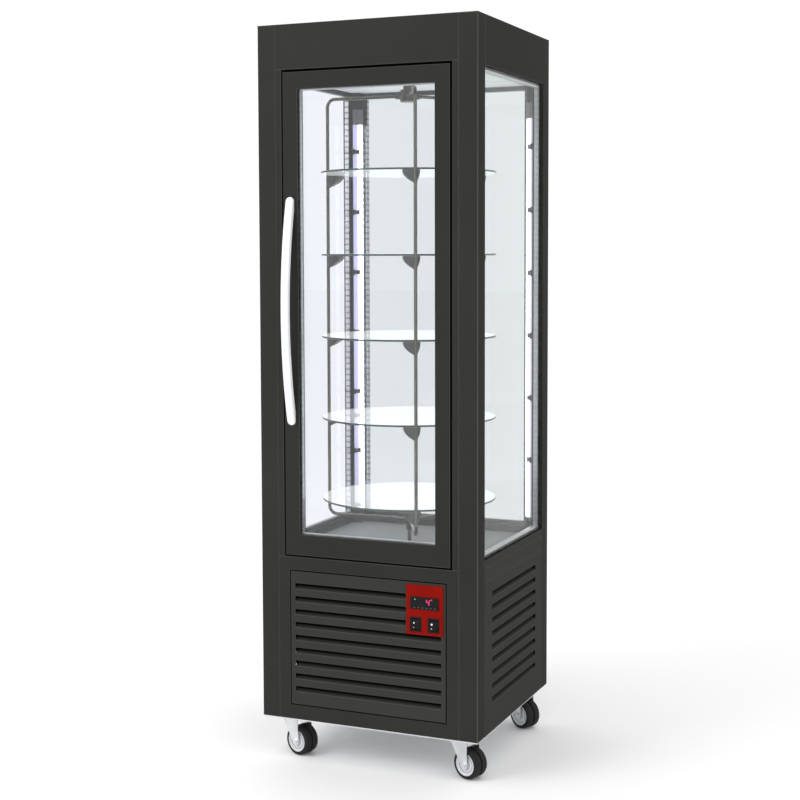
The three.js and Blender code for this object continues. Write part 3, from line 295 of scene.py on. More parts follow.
# mouldings and paints: colour, second colour, roughness, scale of the grain, strength of its relief
mouldings = {
    "ceilingWhite": ((0.93, 0.94, 0.95), (0.9, 0.91, 0.92), 0.46, 900, 0.08),
    "sealBlack": ((0.007, 0.007, 0.007), (0.014, 0.014, 0.014), 0.62, 600, 0.2),
    # near black for painted shade: the gap round the grille, and the black pivot brackets in the door's gaps
    "gapShadeBlack": ((0.0015, 0.0015, 0.0015), (0.0022, 0.0022, 0.0022), 0.9, 500, 0.1),
    "handleGloss": ((0.78, 0.79, 0.81), (0.72, 0.73, 0.75), 0.16, 200, 0.02),
    "padGrey": ((0.046, 0.05, 0.044), (0.032, 0.035, 0.031), 0.24, 300, 0.03),
    "displayBlack": ((0.006, 0.006, 0.007), (0.009, 0.009, 0.01), 0.13, 300, 0.02),
    "rockerBlack": ((0.009, 0.009, 0.01), (0.013, 0.013, 0.013), 0.34, 1200, 0.12),
    "tyreBlack": ((0.012, 0.012, 0.012), (0.022, 0.021, 0.02), 0.58, 500, 0.25),
    "hubWhite": ((0.7, 0.72, 0.74), (0.62, 0.64, 0.66), 0.3, 400, 0.05),
    "enamelBlack": ((0.016, 0.017, 0.018), (0.028, 0.029, 0.03), 0.4, 300, 0.15),
    "markWhite": ((0.8, 0.8, 0.8), (0.7, 0.7, 0.7), 0.5, 300, 0.02),
    "rimGreen": ((0.003, 0.046, 0.025), (0.002, 0.034, 0.018), 0.4, 300, 0.02),
    "ringGrey": ((0.3, 0.31, 0.32), (0.26, 0.27, 0.28), 0.4, 300, 0.02),
    "markGrey": ((0.16, 0.16, 0.17), (0.12, 0.12, 0.13), 0.5, 300, 0.02),
    "sealantGrey": ((0.02, 0.02, 0.021), (0.035, 0.035, 0.036), 0.55, 300, 0.1),
}
sheens = {"gapShadeBlack": 0.02, "displayBlack": 0.12, "rockerBlack": 0.06, "tyreBlack": 0.15, "padGrey": 0.4}
moulded = {"gloss": 0.5, "cloud": (18, 3, 0.55), "fine": (2, 0.5), "smoother": 0.03, "rougher": 0.05,
           "fineRough": 0.03, "reliefHigh": 0.0002}


def makeMoulding(name, colour, second, rough, grain, strength):
    made = finish(name, Specular_IOR_Level=sheens.get(name, moulded["gloss"]))
    cloud = made.noise(*moulded["cloud"])
    fine = made.noise(grain, *moulded["fine"])
    made.feed(Base_Color=made.mix(made.spread(cloud, 0.0, 1.0), colour, second))
    satin = made.spread(cloud, rough - moulded["smoother"], rough + moulded["rougher"])
    made.feed(Roughness=satin + moulded["fineRough"] * fine)
    made.feed(Normal=made.bump(fine, strength, moulded["reliefHigh"]))


for title, values in mouldings.items():
    makeMoulding(title, *values)

# red lacquer of the control plate
red = {"colour": (0.24, 0.0032, 0.0004), "dark": (0.2, 0.0028, 0.0003), "gloss": 0.06, "cloud": (14, 3, 0.5),
       "fine": (1400, 2, 0.5), "rough": (0.34, 0.42), "fineRough": 0.05, "relief": (0.1, 0.0001)}


def makeRed():
    made = finish("plateRed", Specular_IOR_Level=red["gloss"])
    cloud = made.noise(*red["cloud"])
    fine = made.noise(*red["fine"])
    made.feed(Base_Color=made.mix(made.spread(cloud, 0.0, 1.0), red["dark"], red["colour"]))
    made.feed(Roughness=made.spread(cloud, *red["rough"]) + red["fineRough"] * fine)
    made.feed(Normal=made.bump(fine, *red["relief"]))


makeRed()

# bare aluminium fins
fins = {"colour": (0.46, 0.47, 0.48), "dusty": (0.3, 0.3, 0.3), "dust": (40, 4, 0.6), "rough": (0.35, 0.6)}


def makeFins():
    made = finish("finAluminium", Metallic=1.0)
    dust = made.noise(*fins["dust"])
    made.feed(Base_Color=made.mix(made.spread(dust, 0.0, 1.0), fins["colour"], fins["dusty"]))
    made.feed(Roughness=made.spread(dust, *fins["rough"]))


makeFins()

# things that glow
lamps = {
    "opal": {"colour": (0.86, 0.88, 0.98), "light": (0.93, 0.94, 1.0), "strength": 3.0},
    # the tray is no lamp: its glow is painted light, the diodes' light falling on it
    "ledTrayPaintedGlow": {"colour": (0.38, 0.37, 0.52), "light": (0.66, 0.64, 0.9), "strength": 0.5},
    "diode": {"colour": (0.9, 0.9, 1.0), "light": (0.95, 0.96, 1.0), "strength": 7.0},
    "digitRed": {"colour": (0.5, 0.02, 0.12), "light": (1.0, 0.035, 0.19), "strength": 0.78},
    "pilotGreen": {"colour": (0.05, 0.5, 0.15), "light": (0.2, 1.0, 0.28), "strength": 0.5},
}
glows = {"rough": 0.4, "patches": (80, 2, 0.5), "dim": 0.9}
for title, values in lamps.items():
    glow = finish(title, Roughness=glows["rough"], Emission_Strength=values["strength"])
    patch = glow.spread(glow.noise(*glows["patches"]), 0.0, 1.0)
    dim = tuple(glows["dim"] * part for part in values["light"])
    glow.feed(Base_Color=values["colour"], Emission_Color=glow.mix(patch, values["light"], dim))

# panes are clear, and mirror a share that rises from headOn towards a grazing look; shelves glow a little,
# painted light for the light they catch and reflect
glass = {
    "headOn": 0.022,
    "rise": 9,
    "smooth": 0.02,
    "bulk": (0.9, 0.95, 0.93),
    "tints": {"paneGlass": (0.988, 0.992, 1.0), "sideGlass": (0.984, 0.991, 0.992),
              "rearGlass": (0.945, 0.954, 0.956)},
}
shelfGlass = {"face": (0.93, 0.98, 0.955), "rim": (0.006, 0.03, 0.018), "faceLight": (1.0, 1.0, 1.0),
              "rimLight": (0.0, 0.01, 0.0), "light": 0.19, "clear": 0.8, "rough": 0.01, "index": 1.5,
              "rimBelow": 0.85}


def makePane(name, tint):
    made = finish(name, Base_Color=glass["bulk"], Roughness=glass["smooth"])
    clear = made.node("ShaderNodeBsdfTransparent", {}, {"Color": tint})
    gloss = made.node("ShaderNodeBsdfGlossy", {}, {"Color": (1.0, 1.0, 1.0), "Roughness": glass["smooth"]})
    facing = made.node("ShaderNodeLayerWeight", {}, {"Blend": 0.5}, "Facing")
    share = glass["headOn"] + (1 - glass["headOn"]) * made.math("POWER", facing, glass["rise"])
    both = made.node("ShaderNodeMixShader", {}, {0: share, 1: clear, 2: gloss})
    made.tree.links.new(both.socket, made.tree.nodes["Material Output"].inputs["Surface"])
    made.tree.nodes.remove(made.shader)


def makeShelfGlass():
    # the faint white glow of the shelves is painted light, for the light they catch and reflect
    made = finish("shelfGlass", Roughness=shelfGlass["rough"], IOR=shelfGlass["index"],
                  Transmission_Weight=shelfGlass["clear"], Emission_Strength=shelfGlass["light"])
    # the rim is where the normal lies nearly level
    split = made.tree.nodes.new("ShaderNodeSeparateXYZ")
    made.put(split, 0, made.node("ShaderNodeTexCoord", output="Normal"))
    rim = abs(Wire(made, split.outputs[2])) < shelfGlass["rimBelow"]
    made.feed(Base_Color=made.mix(rim, shelfGlass["face"], shelfGlass["rim"]))
    made.feed(Emission_Color=made.mix(rim, shelfGlass["faceLight"], shelfGlass["rimLight"]))


for title, tint in glass["tints"].items():
    makePane(title, tint)
makeShelfGlass()
print("finishes made:", len(finishes))


# shaping helpers: sizes below are millimetres, and every mesh ends in metres
def settle(shape, name, surface, body, place=None, replaced=(), smooth=32, mend=True):
    if place is not None:
        bmesh.ops.transform(shape, matrix=place, verts=shape.verts)
    bmesh.ops.scale(shape, vec=(mm, mm, mm), verts=shape.verts)
    bmesh.ops.remove_doubles(shape, verts=shape.verts, dist=weld)
    if mend:
        bmesh.ops.recalc_face_normals(shape, faces=shape.faces)
    mesh = bpy.data.meshes.new(name)
    shape.to_mesh(mesh)
    shape.free()
    mesh.shade_smooth()
    mesh.set_sharp_from_angle(angle=math.radians(smooth))
    mesh.materials.append(finishes[surface].material)
    piece = bpy.data.objects.new(name, mesh)
    bpy.context.scene.collection.objects.link(piece)
    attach(piece, body)
    if replaced:
        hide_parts(*replaced)
    return piece


def addTo(shape, fresh):
    spare = bpy.data.meshes.new("spare")
    fresh.to_mesh(spare)
    fresh.free()
    shape.from_mesh(spare)
    bpy.data.meshes.remove(spare)


def block(shape, low, high, soften=0.0, segments=2):
    low, high = Vector(low), Vector(high)
    scale = Matrix.Diagonal((*(high - low), 1))
    made = bmesh.ops.create_cube(shape, size=1, matrix=Matrix.Translation((low + high) / 2) @ scale)
    if soften:
        edges = list({edge for vert in made["verts"] for edge in vert.link_edges})
        bmesh.ops.bevel(shape, geom=edges, offset=soften, offset_type="OFFSET", segments=segments,
                        profile=0.5, affect="EDGES", material=-1)


def disc(shape, radius, low, high, centre, soften, sides, axis="Z"):
    # a round plate across the axis, from low to high along it
    made = bmesh.ops.create_cone(shape, cap_ends=True, segments=sides, radius1=radius, radius2=radius,
                                 depth=high - low)
    edges = {edge for vert in made["verts"] for edge in vert.link_edges}
    rims = [edge for edge in edges if abs(edge.verts[0].co.z - edge.verts[1].co.z) < hair]
    grown = bmesh.ops.bevel(shape, geom=rims, offset=soften, offset_type="OFFSET", segments=2, profile=0.5,
                            affect="EDGES", material=-1)
    verts = {vert for face in grown["faces"] for vert in face.verts}
    verts |= {vert for vert in made["verts"] if vert.is_valid}
    turn, spot = {
        "Z": (Matrix(), (*centre, 0)),
        "X": (Matrix.Rotation(math.pi / 2, 4, "Y"), (0, *centre)),
        "Y": (Matrix.Rotation(-math.pi / 2, 4, "X"), (centre[0], 0, centre[1])),
    }[axis]
    lift = Matrix.Translation((0, 0, (low + high) / 2))
    bmesh.ops.transform(shape, matrix=Matrix.Translation(spot) @ turn @ lift, verts=list(verts))


def spun(shape, profile, sides):
    # profile: (radius, height) pairs, turned right round +Z
    line = [shape.verts.new((radius, 0, height)) for radius, height in profile]
    edges = [shape.edges.new(pair) for pair in zip(line, line[1:])]
    bmesh.ops.spin(shape, geom=line + edges, cent=(0, 0, 0), axis=upward, angle=2 * math.pi, steps=sides,
                   use_merge=True, use_duplicate=False)
    bmesh.ops.remove_doubles(shape, verts=shape.verts, dist=hair)


def drawn(shape, outline, rise):
    # a closed outline of points, drawn out along a vector
    face = shape.faces.new([shape.verts.new(point) for point in outline])
    pulled = bmesh.ops.extrude_face_region(shape, geom=[face])
    verts = [item for item in pulled["geom"] if isinstance(item, bmesh.types.BMVert)]
    bmesh.ops.translate(shape, vec=rise, verts=verts)


def closedRings(shape, levels):
    # skins a chain of four-cornered levels back round to the first
    rings = [[shape.verts.new(corner) for corner in level] for level in levels]
    for ring, following in zip(rings, rings[1:] + rings[:1]):
        for k in range(4):
            shape.faces.new((ring[k], ring[k - 3], following[k - 3], following[k]))


def frameRing(shape, low, high, width, depth):
    # an upright ring in the XZ plane from (x, z) to (x, z), drawn back along +Y
    levels = []
    for less, y in ((0, 0), (width, 0), (width, depth), (0, depth)):
        x0, x1, z0, z1 = low[0] + less, high[0] - less, low[1] + less, high[1] - less
        levels.append([(x0, y, z0), (x1, y, z0), (x1, y, z1), (x0, y, z1)])
    closedRings(shape, levels)


# a solid that keeps its own shape is shown by a merged copy of itself with rounded edges
# width and coat in millimetres, weld in metres, least and flat in degrees, corner as a cosine: how squarely
# a post's face must look towards its outer corner to take the painted highlight
softening = {"width": 0.5, "coat": 0.9, "segments": 2, "least": 28, "corner": 0.9, "weld": 0.000002,
             "flat": 0.5}


def roundEdges(piece, width, paintedHighlight=False):
    edges = piece.modifiers.new("edges", "BEVEL")
    edges.width = width * mm
    edges.segments = softening["segments"]
    edges.limit_method = "ANGLE"
    edges.angle_limit = math.radians(softening["least"])
    edges.use_clamp_overlap = True
    edges.harden_normals = True
    # the rounded faces take the paler coat, a painted highlight
    if paintedHighlight:
        piece.data.materials.append(finishes["edgeHighlightCoat"].material)
        edges.material = 1


def soften(node, surface, width=softening["width"], smooth=30):
    # painted highlight: the coat is paler along the edges, and on a post along its rounded outer corner
    shape = bmesh.new()
    shape.from_mesh(nodes[node].data)
    bmesh.ops.remove_doubles(shape, verts=shape.verts, dist=softening["weld"])
    flat = math.radians(softening["flat"])
    bmesh.ops.dissolve_limit(shape, angle_limit=flat, verts=shape.verts, edges=shape.edges)
    bmesh.ops.scale(shape, vec=(1 / mm, 1 / mm, 1 / mm), verts=shape.verts)
    piece = settle(shape, node + ".soft", surface, bodyOf[node], replaced=(node,),
                   smooth=smooth, mend=False)
    roundEdges(piece, width, surface.endswith("Coat"))
    # painted highlight on the faces of a post that turn to its rounded outer corner
    if node.endswith("_post"):
        aside = Vector([math.copysign(1, part) for part in sum(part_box(node), Vector()).xy]).normalized()
        for face in piece.data.polygons:
            if face.normal.xy.dot(aside) > softening["corner"]:
                face.material_index = 1


def dress(node, surface):
    nodes[node].data.materials.clear()
    nodes[node].data.materials.append(finishes[surface].material)


coatNodes = {
    "bodyCoat": ("front_left_post", "front_right_post", "rear_left_post", "rear_right_post", "roof_hood",
                 "front_base_panel", "rear_base_panel", "right_jamb", "left_jamb"),
    "frontLouvreShadedCoat": ("front_grille",),
    "sideLouvreShadedCoat": ("right_base_panel", "left_base_panel"),
}
for surface, members in coatNodes.items():
    for node in members:
        soften(node, surface, softening["coat" if surface == "bodyCoat" else "width"])

# finish, width of the rounding, and the least angle of an edge that stays sharp
softNodes = {
    "chamber_deck": ("brushed", 0.4),
    "ceiling_panel": ("ceilingWhite", 0.4),
    "base_tray": ("zincPlate", 0.3),
    # the pivot brackets are black, and deepened further to the painted shade of the gaps they sit in
    "lower_pivot_bracket": ("gapShadeBlack", 0.3),
    "upper_pivot_bracket": ("gapShadeBlack", 0.3),
    "door_handle": ("handleGloss", 2.2, 50),
    "control_plate": ("plateRed", 0.4),
    "door_gasket": ("sealBlack", 1.2),
    "cable_gland": ("rockerBlack", 0.5),
    "light_switch_rocker": ("rockerBlack", 0.6),
    "power_switch_rocker": ("rockerBlack", 0.6),
    "compressor": ("enamelBlack", 0.8, 40),
    "carousel_gearmotor": ("enamelBlack", 0.8, 40),
}
for node, values in softNodes.items():
    soften(node, *values)
for node in ("condenser", "evaporator_coil"):
    dress(node, "finAluminium")
dress("condenser_fan", "rockerBlack")
print("edges softened")

# door frame: stiles and rails welded and painted as one ring, with the rebate for the glass inside it
doorFrame = {"half": 228, "shy": 1.6, "low": 540, "high": 1776, "front": -260, "back": -228, "stile": 41,
             "foot": 54, "head": 45, "rebate": 10, "lip": 5.7}


def makeDoorFrame():
    face, back, lip = doorFrame["front"], doorFrame["back"], doorFrame["lip"]
    deep = doorFrame["rebate"]
    # each level: share of the members' width, depth of the rebate, distance along Y
    levels = []
    for share, drop, y in [(0, 0, face), (1, 0, face), (1, 0, face + lip), (1, deep, face + lip),
                           (1, deep, back - lip), (1, 0, back - lip), (1, 0, back), (0, 0, back)]:
        side = doorFrame["half"] - share * doorFrame["stile"] + drop
        low = doorFrame["low"] + share * doorFrame["foot"] - drop
        high = doorFrame["high"] - share * doorFrame["head"] + drop
        shy = doorFrame["shy"] * (1 - share)
        high -= shy
        levels.append([(-side, y, low), (side - shy, y, low), (side - shy, y, high), (-side, y, high)])
    shape = bmesh.new()
    closedRings(shape, levels)
    members = ("hinge_stile", "handle_stile", "top_rail", "bottom_rail")
    piece = settle(shape, "door_frame", "doorCoat", "door", replaced=members)
    # the rounded edges take the paler coat, a painted highlight
    roundEdges(piece, softening["coat"], True)


makeDoorFrame()

# sealed glass units: two panes, a spacer bar behind a line of black sealant
unit = {"pane": 4, "arris": 0.5, "thick": 20, "edge": 1.5, "sealant": 5.5, "bar": 5.5, "slack": 0.1}


def glassUnit(node, turn, surface="paneGlass", bar="spacerBar"):
    low, high = (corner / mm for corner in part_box(node))
    centre = (low + high) / 2
    half = ((high - low).y if turn else (high - low).x) / 2
    place = Matrix.Translation(centre) @ Matrix.Rotation(turn, 4, "Z")
    rise = (high - low).z / 2
    body = bodyOf[node]
    panes = bmesh.new()
    outer, inner = -unit["thick"] / 2, unit["thick"] / 2
    for start in (outer, inner - unit["pane"]):
        block(panes, (-half, start, -rise), (half, start + unit["pane"], rise), unit["arris"], 1)
    settle(panes, node + ".panes", surface, body, place, (node,))
    gas, slack = unit["thick"] - 2 * unit["pane"], unit["slack"]
    shift = Matrix.Translation((0, -gas / 2 + slack, 0))
    for part, filling, setIn, wide in (("sealant", "sealantGrey", unit["edge"], unit["sealant"]),
                                       ("spacer", bar, unit["edge"] + unit["sealant"], unit["bar"])):
        ring = bmesh.new()
        frameRing(ring, (-half + setIn, -rise + setIn), (half - setIn, rise - setIn), wide, gas - 2 * slack)
        settle(ring, node + "." + part, filling, body, place @ shift)


glassUnit("right_glass_unit", math.pi / 2, "sideGlass")
glassUnit("left_glass_unit", -math.pi / 2, bar="spacerHoles")
glassUnit("rear_glass_unit", 0, "rearGlass", "spacerHoles")
glassUnit("door_glass_unit", 0)
print("glass units made")

# carousel: rods bent from round bar, corbel pads, round glass shelves, turned hub, collar and bearing
carousel = {"axisY": 20, "rod": 4.5, "rodSides": 20, "circle": 237.5, "bend": 22, "bendSteps": 10,
            "top": 1731, "foot": 601, "hubEnd": 22.3, "collarEnd": 13.3, "angles": (-63, 57.5, 180.5),
            "shelves": (663, 879.5, 1096, 1312.5, 1529)}
pad = {"reach": 40, "left": -32, "right": 13, "high": 33, "drop": 0.3, "grip": 0.5, "levels": 9, "sides": 32,
       "square": 0.38, "lip": 1.2, "slope": 0.66, "least": 0.16}
sleeve = {"radius": 7.4, "from": 21, "to": 36, "soften": 0.8, "sides": 24}
shelf = {"radius": 232, "thick": 5, "edge": 0.5, "sides": 144, "rimDeep": 0.9, "rimProud": 0.04,
         "rimHigh": 4.2}
onAxis = Matrix.Translation((0, carousel["axisY"], 0))


def makeRod(index, angle):
    shape = bmesh.new()
    bend, circle = carousel["bend"], carousel["circle"]
    start = Matrix.Translation((carousel["hubEnd"], 0, carousel["top"]))
    made = bmesh.ops.create_circle(shape, segments=carousel["rodSides"], radius=carousel["rod"],
                                   matrix=start @ Matrix.Rotation(math.pi / 2, 4, "Y"), cap_ends=True)
    ring = made["verts"]
    edges = list({edge for vert in ring for edge in vert.link_edges if edge.other_vert(vert) in ring})

    def drawOut(step):
        pulled = bmesh.ops.extrude_edge_only(shape, edges=edges)["geom"]
        verts = [item for item in pulled if isinstance(item, bmesh.types.BMVert)]
        bmesh.ops.translate(shape, vec=step, verts=verts)
        edges[:] = [item for item in pulled if isinstance(item, bmesh.types.BMEdge)]

    def bendDown(height):
        swung = bmesh.ops.spin(shape, geom=edges, cent=(circle - bend, 0, height), axis=(0, 1, 0),
                               angle=math.pi / 2, steps=carousel["bendSteps"])["geom_last"]
        edges[:] = [item for item in swung if isinstance(item, bmesh.types.BMEdge)]

    drawOut((circle - bend - carousel["hubEnd"], 0, 0))
    bendDown(carousel["top"] - bend)
    drawOut((0, 0, carousel["foot"] - carousel["top"] + 2 * bend))
    bendDown(carousel["foot"] + bend)
    drawOut((carousel["collarEnd"] - circle + bend, 0, 0))
    bmesh.ops.contextual_create(shape, geom=edges)
    place = onAxis @ Matrix.Rotation(math.radians(angle), 4, "Z")
    node = f"carousel_rod_{index}"
    settle(shape, node + ".bar", "satinRod", "carousel", place, (node,), smooth=50)
    pads = bmesh.new()
    for height in carousel["shelves"]:
        addPad(pads, height - shelf["thick"] / 2 - pad["drop"])
    disc(pads, sleeve["radius"], sleeve["from"], sleeve["to"], (0, carousel["top"]), sleeve["soften"],
         sleeve["sides"], "X")
    settle(pads, node + ".pads", "padGrey", "carousel", place, smooth=40)


def addPad(pads, top):
    # a shallow bowl with a flat top; its sides curve down to the rod
    outer = carousel["circle"] + carousel["rod"] / 2
    levels = [(top, 1, pad["lip"]), (top - pad["lip"], 1, 0)]
    for step in range(1, pad["levels"] + 1):
        turn = step / pad["levels"] * math.pi / 2
        levels.append((top - pad["lip"] - (pad["high"] - pad["lip"]) * step / pad["levels"],
                       max(math.cos(turn) ** pad["slope"], pad["least"]), 0))
    fresh = bmesh.new()
    rings = []
    for height, share, less in levels:
        near, far = outer - pad["reach"] * share + less, outer - less
        left = pad["left"] * share + less
        right = max(pad["right"] * share, carousel["rod"] + pad["grip"]) - less
        ring = []
        for k in range(pad["sides"]):
            turn = 2 * math.pi * k / pad["sides"]
            waves = (math.cos(turn), math.sin(turn))
            along, across = (math.copysign(abs(wave) ** pad["square"], wave) for wave in waves)
            ring.append(fresh.verts.new(((near + far) / 2 + along * (far - near) / 2,
                                         (left + right) / 2 + across * (right - left) / 2, height)))
        rings.append(ring)
    for upper, lower in zip(rings, rings[1:]):
        for k in range(pad["sides"]):
            fresh.faces.new((upper[k], upper[k - 1], lower[k - 1], lower[k]))
    fresh.faces.new(rings[0])
    fresh.faces.new(rings[-1])
    bmesh.ops.recalc_face_normals(fresh, faces=fresh.faces)
    addTo(pads, fresh)


for index, angle in enumerate(carousel["angles"], 1):
    makeRod(index, angle)


def makeShelf(index, height):
    node = f"glass_shelf_{index}"
    plate = bmesh.new()
    half = shelf["thick"] / 2
    disc(plate, shelf["radius"], height - half, height + half, (0, carousel["axisY"]), shelf["edge"],
         shelf["sides"])
    settle(plate, node + ".disc", "shelfGlass", "carousel", replaced=(node,), smooth=20)
    # the ground rim looks dark green from the side
    rim = bmesh.new()
    outer, half = shelf["radius"] + shelf["rimProud"], shelf["rimHigh"] / 2
    inner = outer - shelf["rimDeep"]
    spun(rim, [(inner, -half), (outer, -half), (outer, half), (inner, half), (inner, -half)], shelf["sides"])
    place = onAxis @ Matrix.Translation((0, 0, height))
    settle(rim, node + ".rim", "rimGreen", "carousel", place, smooth=20)


for index, height in enumerate(carousel["shelves"], 1):
    makeShelf(index, height)

turnings = {
    "upper_hub": [(0, 1715), (20.5, 1715), (22, 1716.5), (22, 1726), (21.3, 1726.8), (21.3, 1728.2),
                  (22, 1729), (22, 1745.5), (20.5, 1747), (6.6, 1747), (6.6, 1725), (0, 1725)],
    "drive_shaft": [(0, 484.3), (5, 484.3), (5, 573), (9, 573), (9, 589), (11.3, 589), (12.8, 590.5),
                    (12.8, 598), (12.2, 598.6), (12.2, 599.6), (12.8, 600.2), (12.8, 611.5), (11.3, 613),
                    (0, 613)],
}
for node, profile in turnings.items():
    shape = bmesh.new()
    spun(shape, profile, sides=48)
    settle(shape, node + ".turned", "satinRod", "carousel", onAxis, (node,), smooth=30)
soften("top_bearing", "satinRod", 0.5)
print("carousel made")

# castors: twin black tyres, on each side a dished white hub disc with two grey rings, zinc forks
castor = {"trail": 25, "axle": 38, "wheelSides": 56, "rings": ((20.4, 21.4), (12.6, 13.6)), "ringFace": 19.6,
          "ringBack": 16, "ringSides": 48}
# place, and how far the fork is turned, in degrees
castorSpots = {
    "front_left": (-237, -198, -17),
    "front_right": (237, -198, -19),
    "rear_left": (-237, 238, -22),
    "rear_right": (237, 238, -27),
}
# radius, and distance from the wheel's middle
tyreProfile = [(28.5, 0), (34, 0), (34, 2.4), (37.2, 2.4), (38, 3.4), (38, 16.6), (37.2, 20), (35, 22),
               (32, 23), (29.5, 23), (28.5, 22)]
hubProfile = [(4.4, 0), (4.4, 20), (9.5, 20), (10, 19.2), (11, 19), (13, 19), (14, 19.8), (15, 19),
              (20, 18.4), (25, 19), (26, 20.4), (27, 22.2), (28.4, 22.4), (28.4, 0)]


def makeCastor(name, x, y, angle):
    swivel = Matrix.Translation((x, y, 0)) @ Matrix.Rotation(math.radians(angle), 4, "Z")
    axle = Matrix.Translation((castor["trail"], 0, castor["axle"]))
    wheel = swivel @ axle @ Matrix.Rotation(math.pi / 2, 4, "X")
    for part, surface, profile in (("tyres", "tyreBlack", tyreProfile), ("hub", "hubWhite", hubProfile)):
        shape = bmesh.new()
        for sign in (-1, 1):
            half = bmesh.new()
            spun(half, [(radius, sign * width) for radius, width in profile], castor["wheelSides"])
            loose = [face for face in half.faces if all(abs(vert.co.z) < hair for vert in face.verts)]
            bmesh.ops.delete(half, geom=loose, context="FACES_ONLY")
            addTo(shape, half)
        replaced = (f"{name}_castor_wheel",) if part == "tyres" else ()
        settle(shape, f"{name}_castor_wheel.{part}", surface, f"{name}_wheel", wheel,
               replaced, smooth=35)
    rings = bmesh.new()
    for sign in (-1, 1):
        for inner, outer in castor["rings"]:
            fresh = bmesh.new()
            face, back = sign * castor["ringFace"], sign * castor["ringBack"]
            spun(fresh, [(inner, back), (inner, face), (outer, face), (outer, back)], castor["ringSides"])
            addTo(rings, fresh)
    settle(rings, f"{name}_castor_wheel.rings", "ringGrey", f"{name}_wheel", wheel)
    soften(f"{name}_castor_fork", "zincPlate", 0.5)


for name, (x, y, angle) in castorSpots.items():
    makeCastor(name, x, y, angle)
print("castors made")

# light bars on the bevels of the two rear posts: an opal cover towards the rear glass, a tray with dark
# clips towards the side glass that glows with painted light, a dark cover over each end
led = {"low": 575, "high": 1725, "wide": 32, "deep": 9, "spot": 261.788, "tray": 3,
       "lip": 1.3, "lipSoften": 0.3, "lipGap": 0.1, "lipDrop": 0.6,
       "opalStart": 16.5, "opalEnd": 30.4, "opalBack": 0.4, "opalDrop": 0.2, "opalSoften": 2.2,
       "capHigh": 43, "footHigh": 9, "endDrop": 0.4, "endSoften": 1.2,
       "clipPitch": 172, "clipFirst": 161, "clipHigh": 16, "clipWaist": 7.5, "clipOver": 3, "clipLift": 0.1,
       "dotPitch": 18.8, "dot": 3.2, "dotStart": 0.3, "dotEnd": 0.2}


def makeLedBar(side):
    name = "right_led_bar" if side > 0 else "left_led_bar"
    place = Matrix.Translation((side * led["spot"], led["spot"], 0))
    place = place @ Matrix.Rotation(side * 3 * math.pi / 4, 4, "Z")
    low, high, wide, deep = led["low"], led["high"], led["wide"], led["deep"]
    bottom, top = low + led["footHigh"], high - led["capHigh"]

    def across(u):
        # u counts from the edge by the side glass
        return side * (u - wide / 2)

    def slab(shape, first, last, near, far, z0, z1, soften=0.0):
        x0, x1 = sorted((across(first), across(last)))
        block(shape, (x0, near, z0), (x1, far, z1), soften)

    tray = bmesh.new()
    slab(tray, led["lip"], led["opalStart"], 0, led["tray"], bottom, top)
    # the tray glows with painted light
    settle(tray, name + ".tray", "ledTrayPaintedGlow", "cabinet", place, (name,))
    cover = bmesh.new()
    slab(cover, led["opalStart"], led["opalEnd"], led["opalBack"], deep - led["opalDrop"], bottom, top,
         led["opalSoften"])
    settle(cover, name + ".opal", "opal", "cabinet", place)
    channel = bmesh.new()
    slab(channel, 0, led["lip"], 0, deep / 2, bottom, top, led["lipSoften"])
    slab(channel, led["opalEnd"] + led["lipGap"], wide, 0, led["tray"] - led["lipDrop"], bottom, top,
         led["lipSoften"])
    for z0, z1 in ((low, bottom), (top, high)):
        slab(channel, 0, wide, 0, deep - led["endDrop"], z0, z1, led["endSoften"])
    settle(channel, name + ".channel", "ledChannel", "cabinet", place)
    clips = bmesh.new()
    middle = (led["lip"] + led["opalStart"] + led["clipOver"]) / 2
    spanned = (led["opalStart"] + led["clipOver"] - led["lip"]) / 2
    level = bottom + led["clipFirst"]
    while level < top - led["clipHigh"]:
        rise, waist = led["clipHigh"] / 2, led["clipWaist"] / 2
        bow = [(-spanned, -rise), (0, -waist), (spanned, -rise), (spanned, rise), (0, waist),
               (-spanned, rise)]
        outline = [(across(middle + u), led["tray"] + led["clipLift"], level + z) for u, z in bow]
        drawn(clips, outline, (0, deep - led["tray"], 0))
        level += led["clipPitch"]
    settle(clips, name + ".clips", "enamelBlack", "cabinet", place)
    dots = bmesh.new()
    level = bottom + led["dotPitch"] / 2
    while level < top - led["dot"]:
        slab(dots, led["opalEnd"] + led["dotStart"], wide - led["dotEnd"], led["tray"],
             led["tray"] + led["dot"] / 2, level, level + led["dot"])
        level += led["dotPitch"]
    settle(dots, name + ".diodes", "diode", "cabinet", place)


for side in (-1, 1):
    makeLedBar(side)

# thermostat: black window in a bezel, lit figures, pilot lamp, printed key marks
display = {"x": 159.5, "z": 446.5, "face": -264.6, "digitHigh": 15.5, "digitWide": 7.6, "digitAside": 9.5,
           "digitUp": 3.5, "bar": 2.0, "proud": 0.25, "soften": 0.25, "lean": 0.1, "degree": 2.6,
           "degreeBar": 0.9, "degreeAside": 19.2}
pilot = {"radius": 1.4, "aside": -25, "up": 9, "proud": 0.3, "sunk": 0.4, "soften": 0.25, "sides": 20}
keyMarks = {"count": 6, "pitch": 11, "aside": -28.5, "wide": 3.5, "low": -12, "high": -10.6, "proud": 0.1,
            "sunk": 0.2, "soften": 0.1}


def litBars(shape, bars):
    # bars: (x, z, width, height), centred on the figure and leaning a little
    for x, z, wide, high in bars:
        fresh = bmesh.new()
        block(fresh, (x - wide / 2, 0, z - high / 2), (x + wide / 2, display["proud"], z + high / 2),
              display["soften"])
        for vert in fresh.verts:
            vert.co.x += display["lean"] * vert.co.z
        addTo(shape, fresh)


